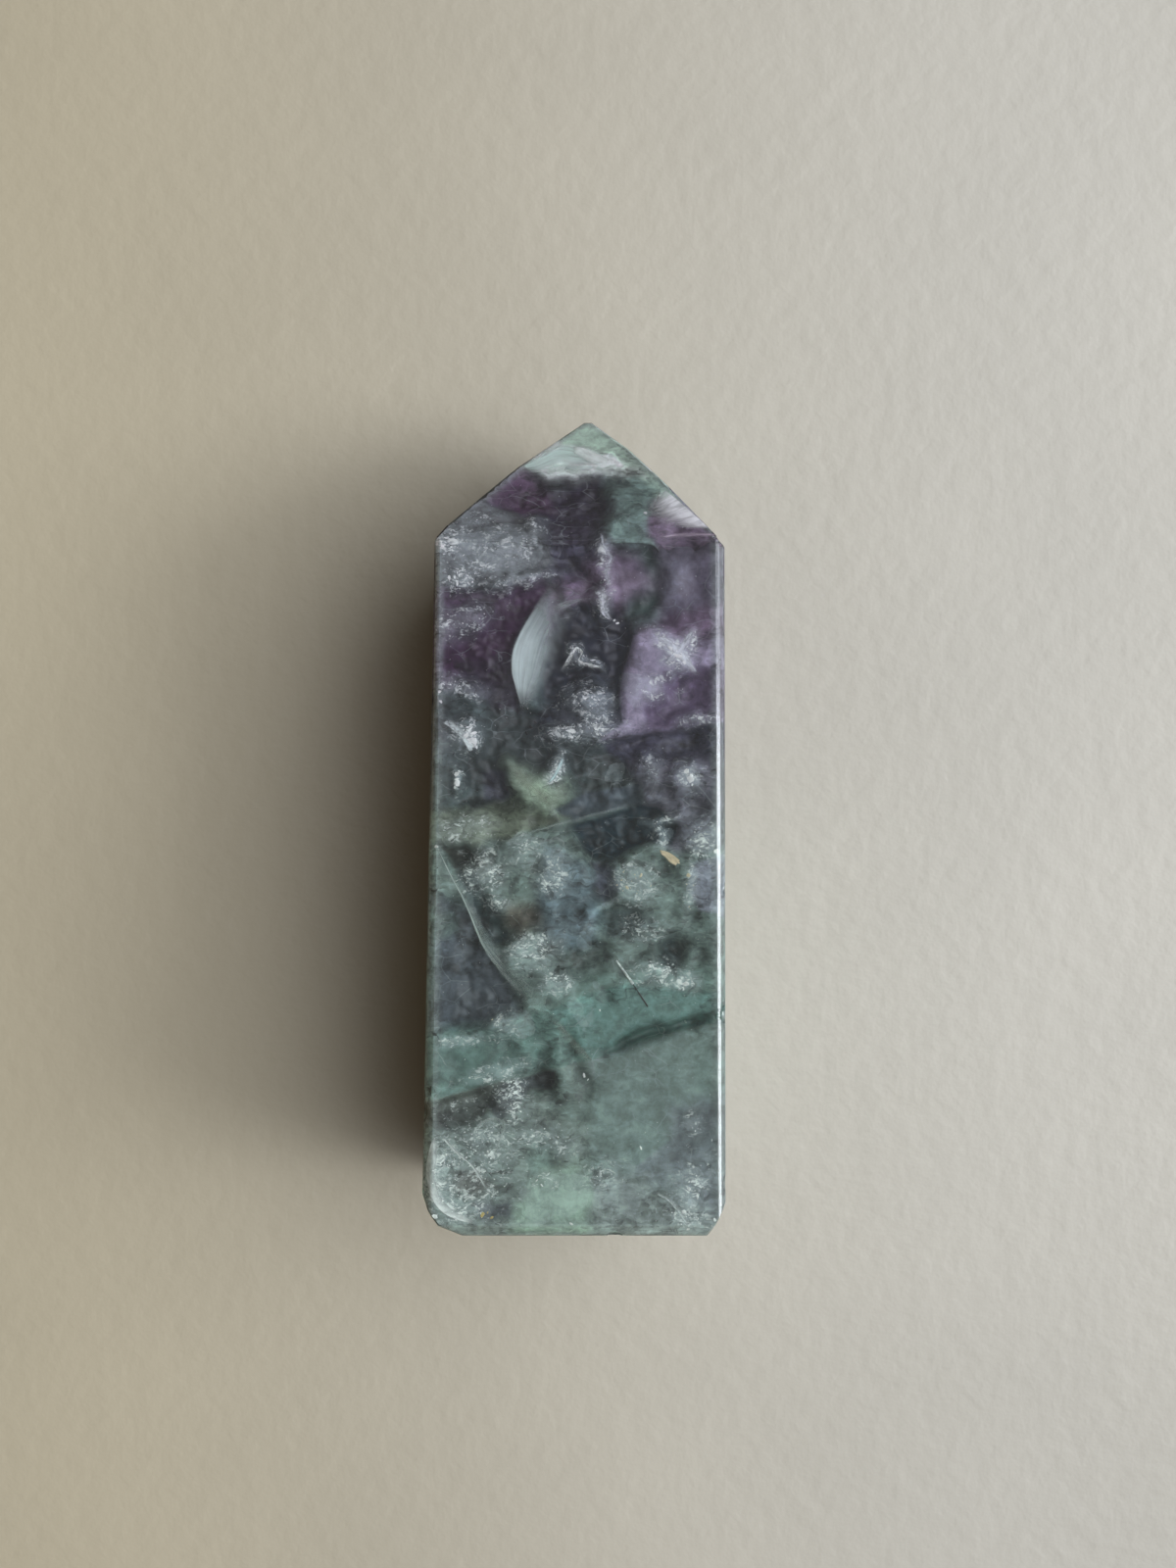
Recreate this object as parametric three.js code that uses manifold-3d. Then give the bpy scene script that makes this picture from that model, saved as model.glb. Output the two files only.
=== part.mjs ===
// A feather fluorite tower: one piece of banded green and purple fluorite, ground
// into a four-sided prism with a four-sided point, then polished. It lies on its
// back face, the way a tower is laid down to be looked at. Its base faces -Y, its
// tip +Y and its front face up. Millimetres, origin under the middle of its box.
import * as THREE from "three";
import { mergeVertices } from "three/addons/utils/BufferGeometryUtils.js";
import Module from "manifold-3d";

// The driving dimensions, in millimetres.
const length = 86; // base to tip
const width = 31.1; // across the base, left to right
const baseDepth = 28.2; // back to front at the base
const shoulderDepth = 27; // back to front where the point begins
const leftTaper = 1.3; // the left side leans in by this much on its way up
const shoulderY = { left: 28.7, right: 27.6, front: 28.2, back: 28.9 };
const tip = { x: 1.5, y: 43.35, z: 13.7 }; // where the point's faces would meet
const tipBlunt = 0.35; // polished off the very tip
const baseChamfer = { front: 1.35, back: 1.1, left: 1.2, right: 1.15 };
const shoulderBreak = { below: 0.45, above: 0.75, inward: 0.85 }; // at the left one

// The base's side corners were rounded off more. Each cut starts up the side and
// ends in along the base, both as [inward, upward] from the corner.
const cornerCuts = {
  left: [
    [[0, 4.6], [0.75, 2.7]],
    [[0.5, 3.1], [2.0, 1.05]],
    [[1.6, 1.45], [4.2, 0]],
  ],
  right: [[[0, 3.5], [1.9, 0]]],
};
const cornerLean = 0.35; // they narrow by this on their way to the back face

// The long edges are bevelled by hand, so each bevel widens or narrows on its way.
// It reaches in from the side by so much, and drops so much for each unit across.
// The front right edge was ground twice, first steeply and then to a flatter band.
const bevels = [
  { side: "left", level: "front", atBase: 1.05, atShoulder: 0.5, drop: 1.1 },
  { side: "right", level: "front", atBase: 0.55, atShoulder: 0.72, drop: 1.7 },
  { side: "right", level: "front", atBase: 0.75, atShoulder: 1.0, drop: 0.5 },
  { side: "left", level: "back", atBase: 0.8, atShoulder: 0.95, drop: 1.0 },
  { side: "right", level: "back", atBase: 1.0, atShoulder: 0.7, drop: 1.0 },
];

// The point's faces were polished by hand and swell a little, so each is ground in
// steps: a bend lies part of the way up, a little outside the straight line.
const bends = {
  left: [{ x: -6.0, y: 36.95 }],
  right: [
    { x: 10.1, y: 34.4 },
    { x: 5.9, y: 39.3 },
  ],
  front: [{ z: 20.9, y: 36.1 }],
  back: [{ z: 6.5, y: 36.6 }],
};

// Small breaks along the edges, where the stone has cleaved. Each is a shallow
// scoop: where it is, how far it reaches along X, Y and Z, and its turn about Y.
const nicks = [
  { at: [-14.95, 15.4, 26.9], reach: [0.5, 1.2, 0.7], turn: 0.4 },
  { at: [-14.9, 12.0, 27.0], reach: [0.75, 2.0, 0.8], turn: 0.6 },
  { at: [-15.1, 0.6, 27.1], reach: [0.45, 1.0, 0.5], turn: 0.2 },
  { at: [-15.45, -11.2, 27.2], reach: [0.4, 0.8, 0.6], turn: 0.5 },
  { at: [-15.5, -30.0, 27.0], reach: [0.55, 1.1, 0.7], turn: 0.3 },
  { at: [15.6, 20.6, 26.5], reach: [0.4, 0.6, 0.5], turn: -0.3 },
  { at: [15.55, -7.5, 26.9], reach: [0.6, 0.8, 0.7], turn: -0.5 },
  { at: [15.5, -20.3, 27.2], reach: [0.7, 1.1, 0.8], turn: -0.6 },
  { at: [15.5, -37.6, 27.0], reach: [0.5, 0.9, 0.6], turn: -0.4 },
  { at: [14.9, 28.3, 26.4], reach: [0.7, 0.5, 0.6], turn: -0.2 },
  { at: [-15.3, -3.5, 0.4], reach: [0.6, 1.6, 0.5], turn: -0.5 },
  { at: [15.4, 9.0, 0.3], reach: [0.5, 1.3, 0.5], turn: 0.5 },
  { at: [-15.4, -27.0, 0.6], reach: [0.5, 0.9, 0.6], turn: -0.3 },
  { at: [15.3, -33.0, 0.5], reach: [0.6, 1.1, 0.6], turn: 0.4 },
  { at: [4.2, -42.9, 27.0], reach: [0.9, 0.4, 0.5], turn: 0 },
  { at: [-7.5, -42.9, 0.6], reach: [1.1, 0.4, 0.5], turn: 0 },
];

const wasm = await Module();
wasm.setup();

const half = width / 2;
const baseY = -length / 2;
const middle = new THREE.Vector3(0, 0, baseDepth / 2);
const point = (x, y, z) => new THREE.Vector3(x, y, z);

// Where the outer faces are at a height y above or below the middle of the stone.
const climb = (y) => (y - baseY) / (shoulderY.front - baseY);
const frontZ = (y) => baseDepth + (shoulderDepth - baseDepth) * climb(y);
const leftX = (y) => -half + leftTaper * climb(y);

// A closed three.js geometry as a solid that can be cut.
function solidOf(geometry) {
  const bare = geometry.clone();
  bare.deleteAttribute("normal");
  bare.deleteAttribute("uv");
  const merged = mergeVertices(bare, 1e-5);
  return new wasm.Manifold(
    new wasm.Mesh({
      numProp: 3,
      vertProperties: merged.attributes.position.array,
      triVerts: new Uint32Array(merged.index.array),
    }),
  );
}

// A block that holds everything outside the plane through three points.
function wasteBeyond(a, b, c) {
  const size = 3 * length;
  const plane = new THREE.Plane().setFromCoplanarPoints(a, b, c);
  if (plane.distanceToPoint(middle) > 0) plane.negate();
  const block = new THREE.BoxGeometry(size, size, size);
  block.translate(0, 0, size / 2);
  block.applyQuaternion(
    new THREE.Quaternion().setFromUnitVectors(point(0, 0, 1), plane.normal),
  );
  const foot = plane.projectPoint(middle, point(0, 0, 0));
  return solidOf(block.translate(foot.x, foot.y, foot.z));
}

// The six faces of the prism, each as three points on it.
function prismFaces() {
  const top = shoulderY.front;
  return [
    [point(0, 0, 0), point(1, 0, 0), point(0, 1, 0)],
    [point(0, baseY, 0), point(1, baseY, 0), point(0, baseY, 1)],
    [point(half, 0, 0), point(half, 1, 0), point(half, 0, 1)],
    [point(-half, baseY, 0), point(-half, baseY, 1), point(leftX(top), top, 0)],
    [
      point(0, baseY, frontZ(baseY)),
      point(1, baseY, frontZ(baseY)),
      point(0, top, frontZ(top)),
    ],
    [
      point(0, tip.y - tipBlunt, 0),
      point(1, tip.y - tipBlunt, 0),
      point(0, tip.y - tipBlunt, 1),
    ],
  ];
}

// The four long bevels, between a side face and the front or back face.
function bevelFaces() {
  return bevels.map(({ side, level, atBase, atShoulder, drop }) => {
    const inward = side === "left" ? 1 : -1;
    const down = level === "front" ? -1 : 1;
    const sideX = (y) => (side === "left" ? leftX(y) : half);
    const faceZ = (y) => (level === "front" ? frontZ(y) : 0);
    const top = shoulderY.front;
    return [
      point(sideX(baseY) + inward * atBase, baseY, faceZ(baseY)),
      point(sideX(top) + inward * atShoulder, top, faceZ(top)),
      point(sideX(baseY), baseY, faceZ(baseY) + down * atBase * drop),
    ];
  });
}

// The narrow chamfers round the base.
function baseFaces() {
  const { front, back, left, right } = baseChamfer;
  const frontLevel = frontZ(baseY);
  return [
    [
      point(0, baseY + front, frontLevel),
      point(1, baseY + front, frontLevel),
      point(0, baseY, frontLevel - front),
    ],
    [point(0, baseY + back, 0), point(1, baseY + back, 0), point(0, baseY, back)],
    [
      point(-half, baseY + left, 0),
      point(-half, baseY + left, 1),
      point(-half + left, baseY, 0),
    ],
    [
      point(half, baseY + right, 0),
      point(half, baseY + right, 1),
      point(half - right, baseY, 0),
    ],
  ];
}

// The cuts that round off the base's side corners.
function cornerFaces() {
  return Object.entries(cornerCuts).flatMap(([side, cuts]) => {
    const outward = side === "left" ? -1 : 1;
    const x = (inward) => outward * (half - inward);
    return cuts.map(([start, end]) => [
      point(x(start[0]), baseY + start[1], baseDepth),
      point(x(end[0]), baseY + end[1], baseDepth),
      point(x(start[0] - cornerLean), baseY + start[1] - cornerLean, 0),
    ]);
  });
}

// The faces of the point, each running from its shoulder over its bends to the tip.
function pointFaces() {
  const summit = point(tip.x, tip.y, tip.z);
  const startX = { left: leftX(shoulderY.left), right: half };
  const sides = ["left", "right"].flatMap((side) => {
    const path = [
      { x: startX[side], y: shoulderY[side] },
      ...bends[side],
      { x: tip.x, y: tip.y },
    ];
    return path
      .slice(1)
      .map((end, i) => [
        point(path[i].x, path[i].y, 0),
        point(end.x, end.y, 0),
        point(end.x, end.y, 1),
      ]);
  });
  const startZ = { front: frontZ(shoulderY.front), back: 0 };
  const slopes = ["front", "back"].flatMap((level) => {
    const path = [
      { z: startZ[level], y: shoulderY[level] },
      ...bends[level],
      { z: summit.z, y: summit.y },
    ];
    return path
      .slice(1)
      .map((end, i) => [
        point(0, path[i].y, path[i].z),
        point(0, end.y, end.z),
        point(1, end.y, end.z),
      ]);
  });
  const x = leftX(shoulderY.left);
  const leftShoulder = [
    point(x, shoulderY.left - shoulderBreak.below, 0),
    point(x + shoulderBreak.inward, shoulderY.left + shoulderBreak.above, 0),
    point(x, shoulderY.left - shoulderBreak.below, 1),
  ];
  return [...sides, ...slopes, leftShoulder];
}

// A small break in an edge: a coarse ball, so that it leaves flat cleaved faces.
function nickSolid({ at, reach, turn }) {
  const scoop = new THREE.IcosahedronGeometry(1, 1);
  scoop.scale(...reach);
  scoop.rotateY(turn);
  scoop.translate(...at);
  return solidOf(scoop);
}

// The whole stone: a blank, ground face by face, and then nicked.
function towerGeometry() {
  const blank = new THREE.BoxGeometry(2 * width, 2 * length, 2 * baseDepth);
  blank.translate(0, 0, middle.z);
  const faces = [
    ...prismFaces(),
    ...bevelFaces(),
    ...baseFaces(),
    ...cornerFaces(),
    ...pointFaces(),
  ];
  const ground = faces.reduce(
    (stone, [a, b, c]) => stone.subtract(wasteBeyond(a, b, c)),
    solidOf(blank),
  );
  const finished = nicks.reduce(
    (stone, nick) => stone.subtract(nickSolid(nick)),
    ground,
  );
  const mesh = finished.getMesh();
  const geometry = new THREE.BufferGeometry();
  geometry.setAttribute(
    "position",
    new THREE.BufferAttribute(mesh.vertProperties, 3),
  );
  geometry.setIndex(new THREE.BufferAttribute(mesh.triVerts, 1));
  geometry.computeVertexNormals();
  geometry.computeBoundingBox();
  const { min, max } = geometry.boundingBox;
  return geometry.translate(-(min.x + max.x) / 2, -(min.y + max.y) / 2, -min.z);
}

const fluorite = new THREE.MeshStandardMaterial({
  color: 0x6f8381,
  roughness: 0.08,
  metalness: 0,
});

const tower = new THREE.Mesh(towerGeometry(), fluorite);
tower.name = "fluorite_tower";

const part = new THREE.Group();
part.add(tower);

export default part;
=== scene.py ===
# A feather fluorite tower that lies on its back face: the polished stone, the cloudy
# coloured zones in it, and the feather, veils, cracks and crumbs that hang in them.
# Sizes are in millimetres until a mesh is finished, and pixels are the photo's.
import math
import random

import bmesh
import bpy
import numpy as np
from mathutils import Euler, Matrix, Vector, bvhtree, noise


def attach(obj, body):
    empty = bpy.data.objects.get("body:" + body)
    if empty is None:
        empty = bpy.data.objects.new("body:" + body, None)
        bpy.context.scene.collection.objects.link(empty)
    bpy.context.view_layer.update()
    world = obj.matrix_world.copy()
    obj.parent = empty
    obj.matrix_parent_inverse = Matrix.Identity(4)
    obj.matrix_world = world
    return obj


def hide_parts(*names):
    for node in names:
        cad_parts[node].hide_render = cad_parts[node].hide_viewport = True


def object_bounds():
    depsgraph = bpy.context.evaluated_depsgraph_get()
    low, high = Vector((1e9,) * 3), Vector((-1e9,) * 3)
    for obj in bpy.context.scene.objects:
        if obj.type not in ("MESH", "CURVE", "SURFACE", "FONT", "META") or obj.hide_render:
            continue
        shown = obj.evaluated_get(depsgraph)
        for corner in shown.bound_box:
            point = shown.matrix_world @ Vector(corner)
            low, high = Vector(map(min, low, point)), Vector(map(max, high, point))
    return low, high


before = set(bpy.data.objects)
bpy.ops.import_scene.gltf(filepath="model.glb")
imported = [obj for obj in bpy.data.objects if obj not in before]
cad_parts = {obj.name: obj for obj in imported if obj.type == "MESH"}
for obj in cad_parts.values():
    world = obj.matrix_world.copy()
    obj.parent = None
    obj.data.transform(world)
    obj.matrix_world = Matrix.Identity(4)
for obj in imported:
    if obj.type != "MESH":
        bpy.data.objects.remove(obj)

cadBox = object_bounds()
mm = 0.001
pixelsPerMm = 10  # about, at the front face
scene = bpy.context.scene
noise.seed_set(4)  # the same patterns every time
scene.view_settings.view_transform = "Standard"
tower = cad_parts["fluorite_tower"]

camera = {
    "across": 1.45, "along": 3.25, "height": 197.5, "clip": 10, "rounds": 4,
    "lens": 38.25, "sensor": 36.0, "middle": (600, 800), "focal": 1700,
}

# Where the front face and the point's front facet are, from the base to the tip, and how
# much a face looks up when it belongs to the front.
faceProfile = [(-43.0, 28.18), (28.2, 27.0), (36.1, 20.9), (43.0, 14.05)]
frontLean = 0.3
frontFade = (3, -1)  # where a zone ends and starts to end, about its own depth


def photoPlace(px, py, depth=0.0):  # what a pixel shows at a depth under the surface
    slope = Vector(((px - camera["middle"][0]), (camera["middle"][1] - py))) / camera["focal"]
    z, tilt = faceProfile[0][1], 0.0
    for _ in range(camera["rounds"]):
        y = camera["along"] + slope.y * (camera["height"] - z)
        for (y1, z1), (y2, z2) in zip(faceProfile, faceProfile[1:]):
            if y >= y1:
                tilt = (z1 - z2) / (y2 - y1)
                z = z1 - tilt * (min(y, y2) - y1)
    bend = math.atan(tilt) - math.asin(math.sin(math.atan(tilt)) / glass["ior"])
    reach = camera["height"] - z + depth / glass["ior"]
    return Vector((
        camera["across"] + slope.x * reach,
        camera["along"] + slope.y * reach - math.tan(bend) * depth,
        z - depth,
    ))


def srgb(r, g, b):  # a colour as it is seen, 0 to 255, in the shaders' own numbers
    return tuple((v / 255 / 12.92) if v < 11 else ((v / 255 + 0.055) / 1.055) ** 2.4
                 for v in (r, g, b)) + (1.0,)


def put(tree, kind, sockets=None, **settings):  # adds a node and fills its sockets
    made = tree.nodes.new("ShaderNode" + kind)
    for name, value in settings.items():
        setattr(made, name, value)
    for name, value in (sockets or {}).items():
        if isinstance(value, bpy.types.NodeSocket):
            tree.links.new(value, made.inputs[name])
        else:
            made.inputs[name].default_value = value
    return made


def calc(tree, kind, a, b=0.0, c=0.0):
    return put(tree, "Math", {0: a, 1: b, 2: c}, operation=kind).outputs[0]


def times(tree, a, b):
    return calc(tree, "MULTIPLY", a, b)


def eased(tree, value, low, high, start=0.0, end=1.0):  # start to end, softly
    return put(tree, "MapRange", {
        "Value": value, "From Min": low, "From Max": high, "To Min": start, "To Max": end,
    }, interpolation_type="SMOOTHSTEP").outputs[0]


def mixed(tree, share, a, b, kind="MIX"):  # two colours
    return put(tree, "Mix", {0: share, 6: a, 7: b}, data_type="RGBA", blend_type=kind).outputs[2]


def grey(tree, value):
    return put(tree, "CombineColor", {0: value, 1: value, 2: value}).outputs[0]


def clouds(tree, place, scale, detail=4.0, roughness=0.55, stretch=0.0, output="Fac"):
    return put(tree, "TexNoise", {
        "Vector": place, "Scale": scale, "Detail": detail, "Roughness": roughness,
        "Distortion": stretch,
    }).outputs[output]


def pushed(tree, place, by, amount):  # moves a place by a noise colour, by so many mm
    away = put(tree, "VectorMath", {0: by, 1: (0.5, 0.5, 0.5)}, operation="SUBTRACT")
    return put(tree, "VectorMath", {0: away.outputs[0], 1: (amount,) * 3, 2: place},
               operation="MULTIPLY_ADD").outputs[0]


def slanted(tree, place, turn, scale):  # the place turned and stretched, for a pattern to lie on
    return put(tree, "Mapping", {"Vector": place, "Rotation": turn, "Scale": scale}).outputs[0]


def newMaterial(name, values):  # a material with its shader's constant values set
    made = bpy.data.materials.new(name)
    made.use_nodes = True
    shader = made.node_tree.nodes["Principled BSDF"]
    for socket, value in values.items():
        shader.inputs[socket].default_value = value
    return made, made.node_tree, shader


def stonePlace(tree):  # Object coordinates in millimetres
    where = put(tree, "TexCoord").outputs["Object"]
    return put(tree, "Mapping", {"Vector": where, "Scale": (1 / mm,) * 3}).outputs[0]


def newObject(name, mesh, material):
    made = bpy.data.objects.new(name, mesh)
    scene.collection.objects.link(made)
    mesh.materials.clear()
    mesh.materials.append(material)
    return made


def inStone(made):  # every piece of the stone moves with it
    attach(made, "root")
    return made


glass = {
    "ior": 1.434, "roughness": 0.02, "clearness": 0.985,
    "tint": (0.84, 0.88, 0.88, 1.0), "density": 60.0,
    "green": (240, 246, 242), "violet": (242, 239, 246), "turns": (4, 22), "wander": 16,
    "wanderScale": 0.12,
}

# What the glass takes from a tone under it and what its own gloss adds, so that each
# tone below can be written as it is seen.
underGlass = {"passed": 0.80, "added": 0.026, "least": 0.002}

palette = {
    "sage": (170, 193, 177), "white": (248, 254, 250), "dusk": (56, 51, 64),
    "magenta": (88, 66, 88), "teal": (118, 142, 134), "tealDark": (66, 84, 78),
    "grey": (84, 87, 88), "plum": (70, 51, 72), "plumDark": (60, 54, 66),
    "lilacGrey": (116, 102, 120), "slate": (54, 58, 66), "mauve": (148, 141, 160),
    "purple": (98, 86, 108), "greyGreen": (100, 114, 110), "greyViolet": (110, 108, 121),
    "swirl": (150, 168, 149), "violetSlate": (74, 74, 88), "lavenderSlate": (76, 84, 92),
    "greyDim": (69, 77, 77), "violetGrey": (100, 98, 110), "tealBlack": (40, 58, 67),
    "olive": (106, 114, 100), "umber": (64, 66, 60), "blueGrey": (96, 110, 118),
    "lavender": (132, 136, 148), "brown": (94, 86, 78), "deepTeal": (58, 70, 72),
    "leafGrey": (106, 127, 121), "seaGreen": (94, 117, 112), "deepSea": (100, 129, 124),
    "seaDark": (62, 84, 78), "milkGreen": (117, 134, 130), "paleGreen": (142, 163, 150),
    "milkGrey": (130, 140, 138), "webGrey": (112, 124, 119), "lowLavender": (104, 110, 116),
    "charcoal": (64, 66, 70), "pearl": (170, 182, 184),
}

# The coloured zones as the photo shows them, the lower ones first. Each has its tone,
# how soft its border is, how strong it is, how deep it goes, and its outline.
zones = [
    ("tipSage", "sage", 0.6, 1.0, 14, [(603, 424), (536, 476), (575, 480), (622, 474), (656, 492),
     (672, 508), (700, 512)]),
    ("tipGlow", "white", 0.5, 0.55, 8, [(536, 474), (560, 452), (600, 456), (630, 466),
     (660, 486), (636, 486), (600, 484), (560, 488)]),
    ("dusk", "dusk", 1.3, 0.92, 12, [(524, 482), (562, 490), (615, 482), (624, 512), (612, 536),
     (588, 548), (568, 574), (553, 550), (530, 522), (500, 512)]),
    ("magentaFlank", "magenta", 1.0, 0.8, 10, [(488, 508), (532, 474), (556, 490), (566, 512),
     (532, 516), (508, 512)]),
    ("tealShoulder", "teal", 1.2, 0.85, 12, [(618, 484), (648, 482), (676, 497), (662, 522),
     (658, 540), (670, 552), (645, 560), (625, 562), (612, 538), (624, 512)]),
    ("fanPink", "lilacGrey", 0.4, 0.9, 8, [(662, 526), (680, 518), (722, 538), (742, 556),
     (700, 546), (662, 545)]),
    ("duskMiddle", "violetSlate", 0.9, 0.8, 10, [(560, 548), (610, 536), (628, 562), (640, 580),
     (600, 592), (570, 602), (558, 580)]),
    ("tealMiddle", "tealDark", 0.9, 0.9, 10, [(624, 556), (662, 556), (680, 575), (682, 602),
     (665, 628), (640, 628), (628, 600)]),
    ("greyRight", "greyViolet", 0.9, 0.8, 10, [(672, 556), (742, 560), (742, 622), (700, 636),
     (672, 618)]),
    ("speckledGrey", "grey", 0.5, 0.95, 9, [(440, 548), (462, 528), (492, 510), (522, 514),
     (540, 524), (560, 548), (567, 576), (530, 592), (498, 599), (462, 598), (440, 592)]),
    ("plumUpper", "plum", 0.5, 0.95, 12, [(436, 596), (500, 602), (561, 580), (556, 606),
     (536, 632), (523, 660), (521, 692), (500, 702), (470, 706), (436, 694)]),
    ("plumLower", "plumDark", 0.8, 0.9, 12, [(470, 672), (524, 668), (534, 728), (500, 724),
     (466, 704)]),
    ("pinkHaze", "lilacGrey", 1.6, 0.85, 6, [(552, 608), (592, 584), (616, 556), (648, 562),
     (668, 594), (632, 620), (585, 630)]),
    ("slateMiddle", "slate", 0.6, 0.95, 12, [(566, 628), (600, 613), (640, 630), (646, 650),
     (634, 690), (636, 722), (616, 742), (588, 734), (560, 716), (552, 690), (560, 656)]),
    ("lilacRight", "lilacGrey", 0.8, 0.9, 8, [(650, 645), (690, 626), (742, 612), (742, 652),
     (700, 652), (665, 657)]),
    ("greyLeft", "greyDim", 0.9, 0.95, 12, [(436, 702), (470, 700), (502, 722), (552, 735),
     (640, 758), (650, 800), (570, 828), (436, 850)]),
    ("mauveBlock", "mauve", 0.16, 0.92, 16, [(647, 648), (672, 640), (706, 655), (742, 650),
     (742, 736), (650, 749), (611, 756), (636, 738), (632, 710), (637, 680)]),
    ("mauveDeep", "purple", 0.5, 0.9, 12, [(676, 682), (742, 680), (742, 734), (660, 745),
     (656, 722), (672, 706)]),
    ("slateBelow", "violetSlate", 0.5, 0.9, 12, [(612, 757), (742, 738), (742, 772), (712, 782),
     (680, 792), (650, 788), (630, 772)]),
    ("violetRight", "violetGrey", 0.8, 0.85, 10, [(640, 776), (742, 772), (742, 866), (690, 872),
     (664, 852), (655, 822)]),
    ("swirl", "swirl", 1.8, 0.8, 6, [(516, 778), (548, 790), (575, 800), (578, 826), (556, 836),
     (530, 822), (520, 800)]),
    ("darkEye", "violetSlate", 0.5, 0.8, 5, [(494, 790), (512, 786), (524, 806), (508, 822),
     (494, 812)]),
    ("lavenderWedge", "lavenderSlate", 0.25, 0.9, 12, [(566, 826), (600, 808), (652, 800),
     (656, 821), (582, 839)]),
    ("oliveLeft", "olive", 0.7, 0.9, 9, [(436, 830), (520, 818), (580, 838), (518, 857),
     (490, 867), (436, 862)]),
    ("deepTeal", "tealBlack", 0.22, 0.96, 14, [(577, 843), (612, 834), (652, 821), (672, 824),
     (692, 842), (686, 862), (660, 860), (640, 868), (622, 884), (604, 876), (588, 858)]),
    ("greyUnder", "greyGreen", 0.8, 0.9, 12, [(436, 864), (518, 857), (582, 840), (600, 878),
     (640, 880), (742, 866), (742, 1010), (640, 1000), (560, 1030), (436, 1050)]),
    ("umberWedge", "umber", 0.3, 0.9, 5, [(446, 862), (476, 866), (508, 876), (486, 912),
     (468, 896)]),
    ("darkStripe", "deepTeal", 0.5, 0.9, 8, [(464, 884), (482, 890), (506, 926), (521, 962),
     (500, 966), (480, 930)]),
    ("blueMiddle", "blueGrey", 0.9, 0.85, 8, [(556, 862), (600, 884), (614, 930), (610, 966),
     (570, 972), (545, 940)]),
    ("brownSpot", "brown", 1.1, 0.8, 6, [(514, 925), (546, 920), (551, 945), (531, 958),
     (514, 946)]),
    ("plumSpot", "violetSlate", 0.7, 0.85, 7, [(604, 878), (628, 884), (634, 906), (616, 924),
     (604, 906)]),
    ("violetLeft", "violetSlate", 1.2, 0.7, 10, [(436, 912), (480, 926), (500, 966), (520, 1000),
     (532, 1030), (500, 1046), (436, 1054)]),
    ("paleLeft", "greyGreen", 0.7, 0.8, 5, [(436, 926), (464, 932), (468, 952), (436, 962)]),
    ("lavenderEdge", "lavender", 0.3, 0.9, 9, [(704, 884), (722, 876), (742, 874), (742, 936),
     (712, 930), (704, 910)]),
    ("darkCentre", "deepTeal", 0.8, 0.75, 8, [(610, 930), (650, 926), (668, 944), (640, 958),
     (616, 952)]),
    ("darkRight", "deepTeal", 0.5, 0.9, 8, [(674, 962), (690, 956), (696, 984), (682, 996),
     (672, 980)]),
    ("seaRight", "leafGrey", 0.9, 0.85, 9, [(560, 1000), (640, 990), (742, 985), (742, 1026),
     (640, 1040), (560, 1034)]),
    ("bandLeft", "seaGreen", 0.14, 0.9, 16, [(430, 1056), (500, 1050), (560, 1032), (573, 1044),
     (605, 1082), (550, 1095), (475, 1114), (430, 1126)]),
    ("bandRight", "deepSea", 0.14, 0.92, 16, [(560, 1032), (600, 1014), (640, 1004), (700, 1012),
     (746, 1012), (746, 1040), (702, 1050), (670, 1059), (605, 1082), (573, 1044)]),
    ("bandShade", "seaDark", 0.4, 0.85, 12, [(612, 1079), (645, 1052), (700, 1040), (746, 1028),
     (746, 1041), (702, 1050), (670, 1059)]),
    ("milkRight", "milkGreen", 0.12, 0.95, 12, [(606, 1084), (670, 1061), (702, 1052),
     (746, 1042), (746, 1150), (690, 1160), (650, 1190), (600, 1180), (606, 1120)]),
    ("webLeft", "webGrey", 0.8, 0.9, 10, [(430, 1128), (512, 1104), (600, 1085), (600, 1180),
     (540, 1262), (430, 1262)]),
    ("umberUnder", "umber", 0.2, 0.9, 10, [(430, 1127), (475, 1115), (515, 1103), (505, 1130),
     (480, 1150), (430, 1152)]),
    ("darkUnder", "charcoal", 0.25, 0.9, 8, [(513, 1105), (550, 1097), (572, 1092), (565, 1114),
     (541, 1112), (526, 1132), (508, 1146), (498, 1130)]),
    ("greyCircle", "greyGreen", 0.3, 0.85, 6, [(568, 1092), (600, 1086), (608, 1110), (604, 1144),
     (585, 1146), (560, 1128)]),
    ("lowLavender", "lowLavender", 0.9, 0.8, 9, [(684, 1130), (746, 1116), (746, 1240),
     (700, 1224), (682, 1184)]),
    ("paleGreenLow", "paleGreen", 0.8, 0.95, 10, [(524, 1232), (556, 1192), (602, 1188),
     (612, 1230), (600, 1266), (520, 1266)]),
    ("milkGreyLow", "milkGrey", 0.7, 0.85, 6, [(604, 1204), (660, 1198), (668, 1228), (642, 1254),
     (602, 1256)]),
    ("greenBlob", "teal", 0.5, 0.6, 5, [(538, 1174), (556, 1162), (568, 1176), (562, 1192),
     (542, 1198)]),
    ("darkCorner", "brown", 0.5, 0.7, 5, [(462, 1198), (488, 1196), (504, 1212), (486, 1222),
     (464, 1216)]),
    ("darkFoot", "violetSlate", 0.5, 0.7, 5, [(482, 1228), (520, 1230), (522, 1244),
     (490, 1244)]),
]

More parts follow.
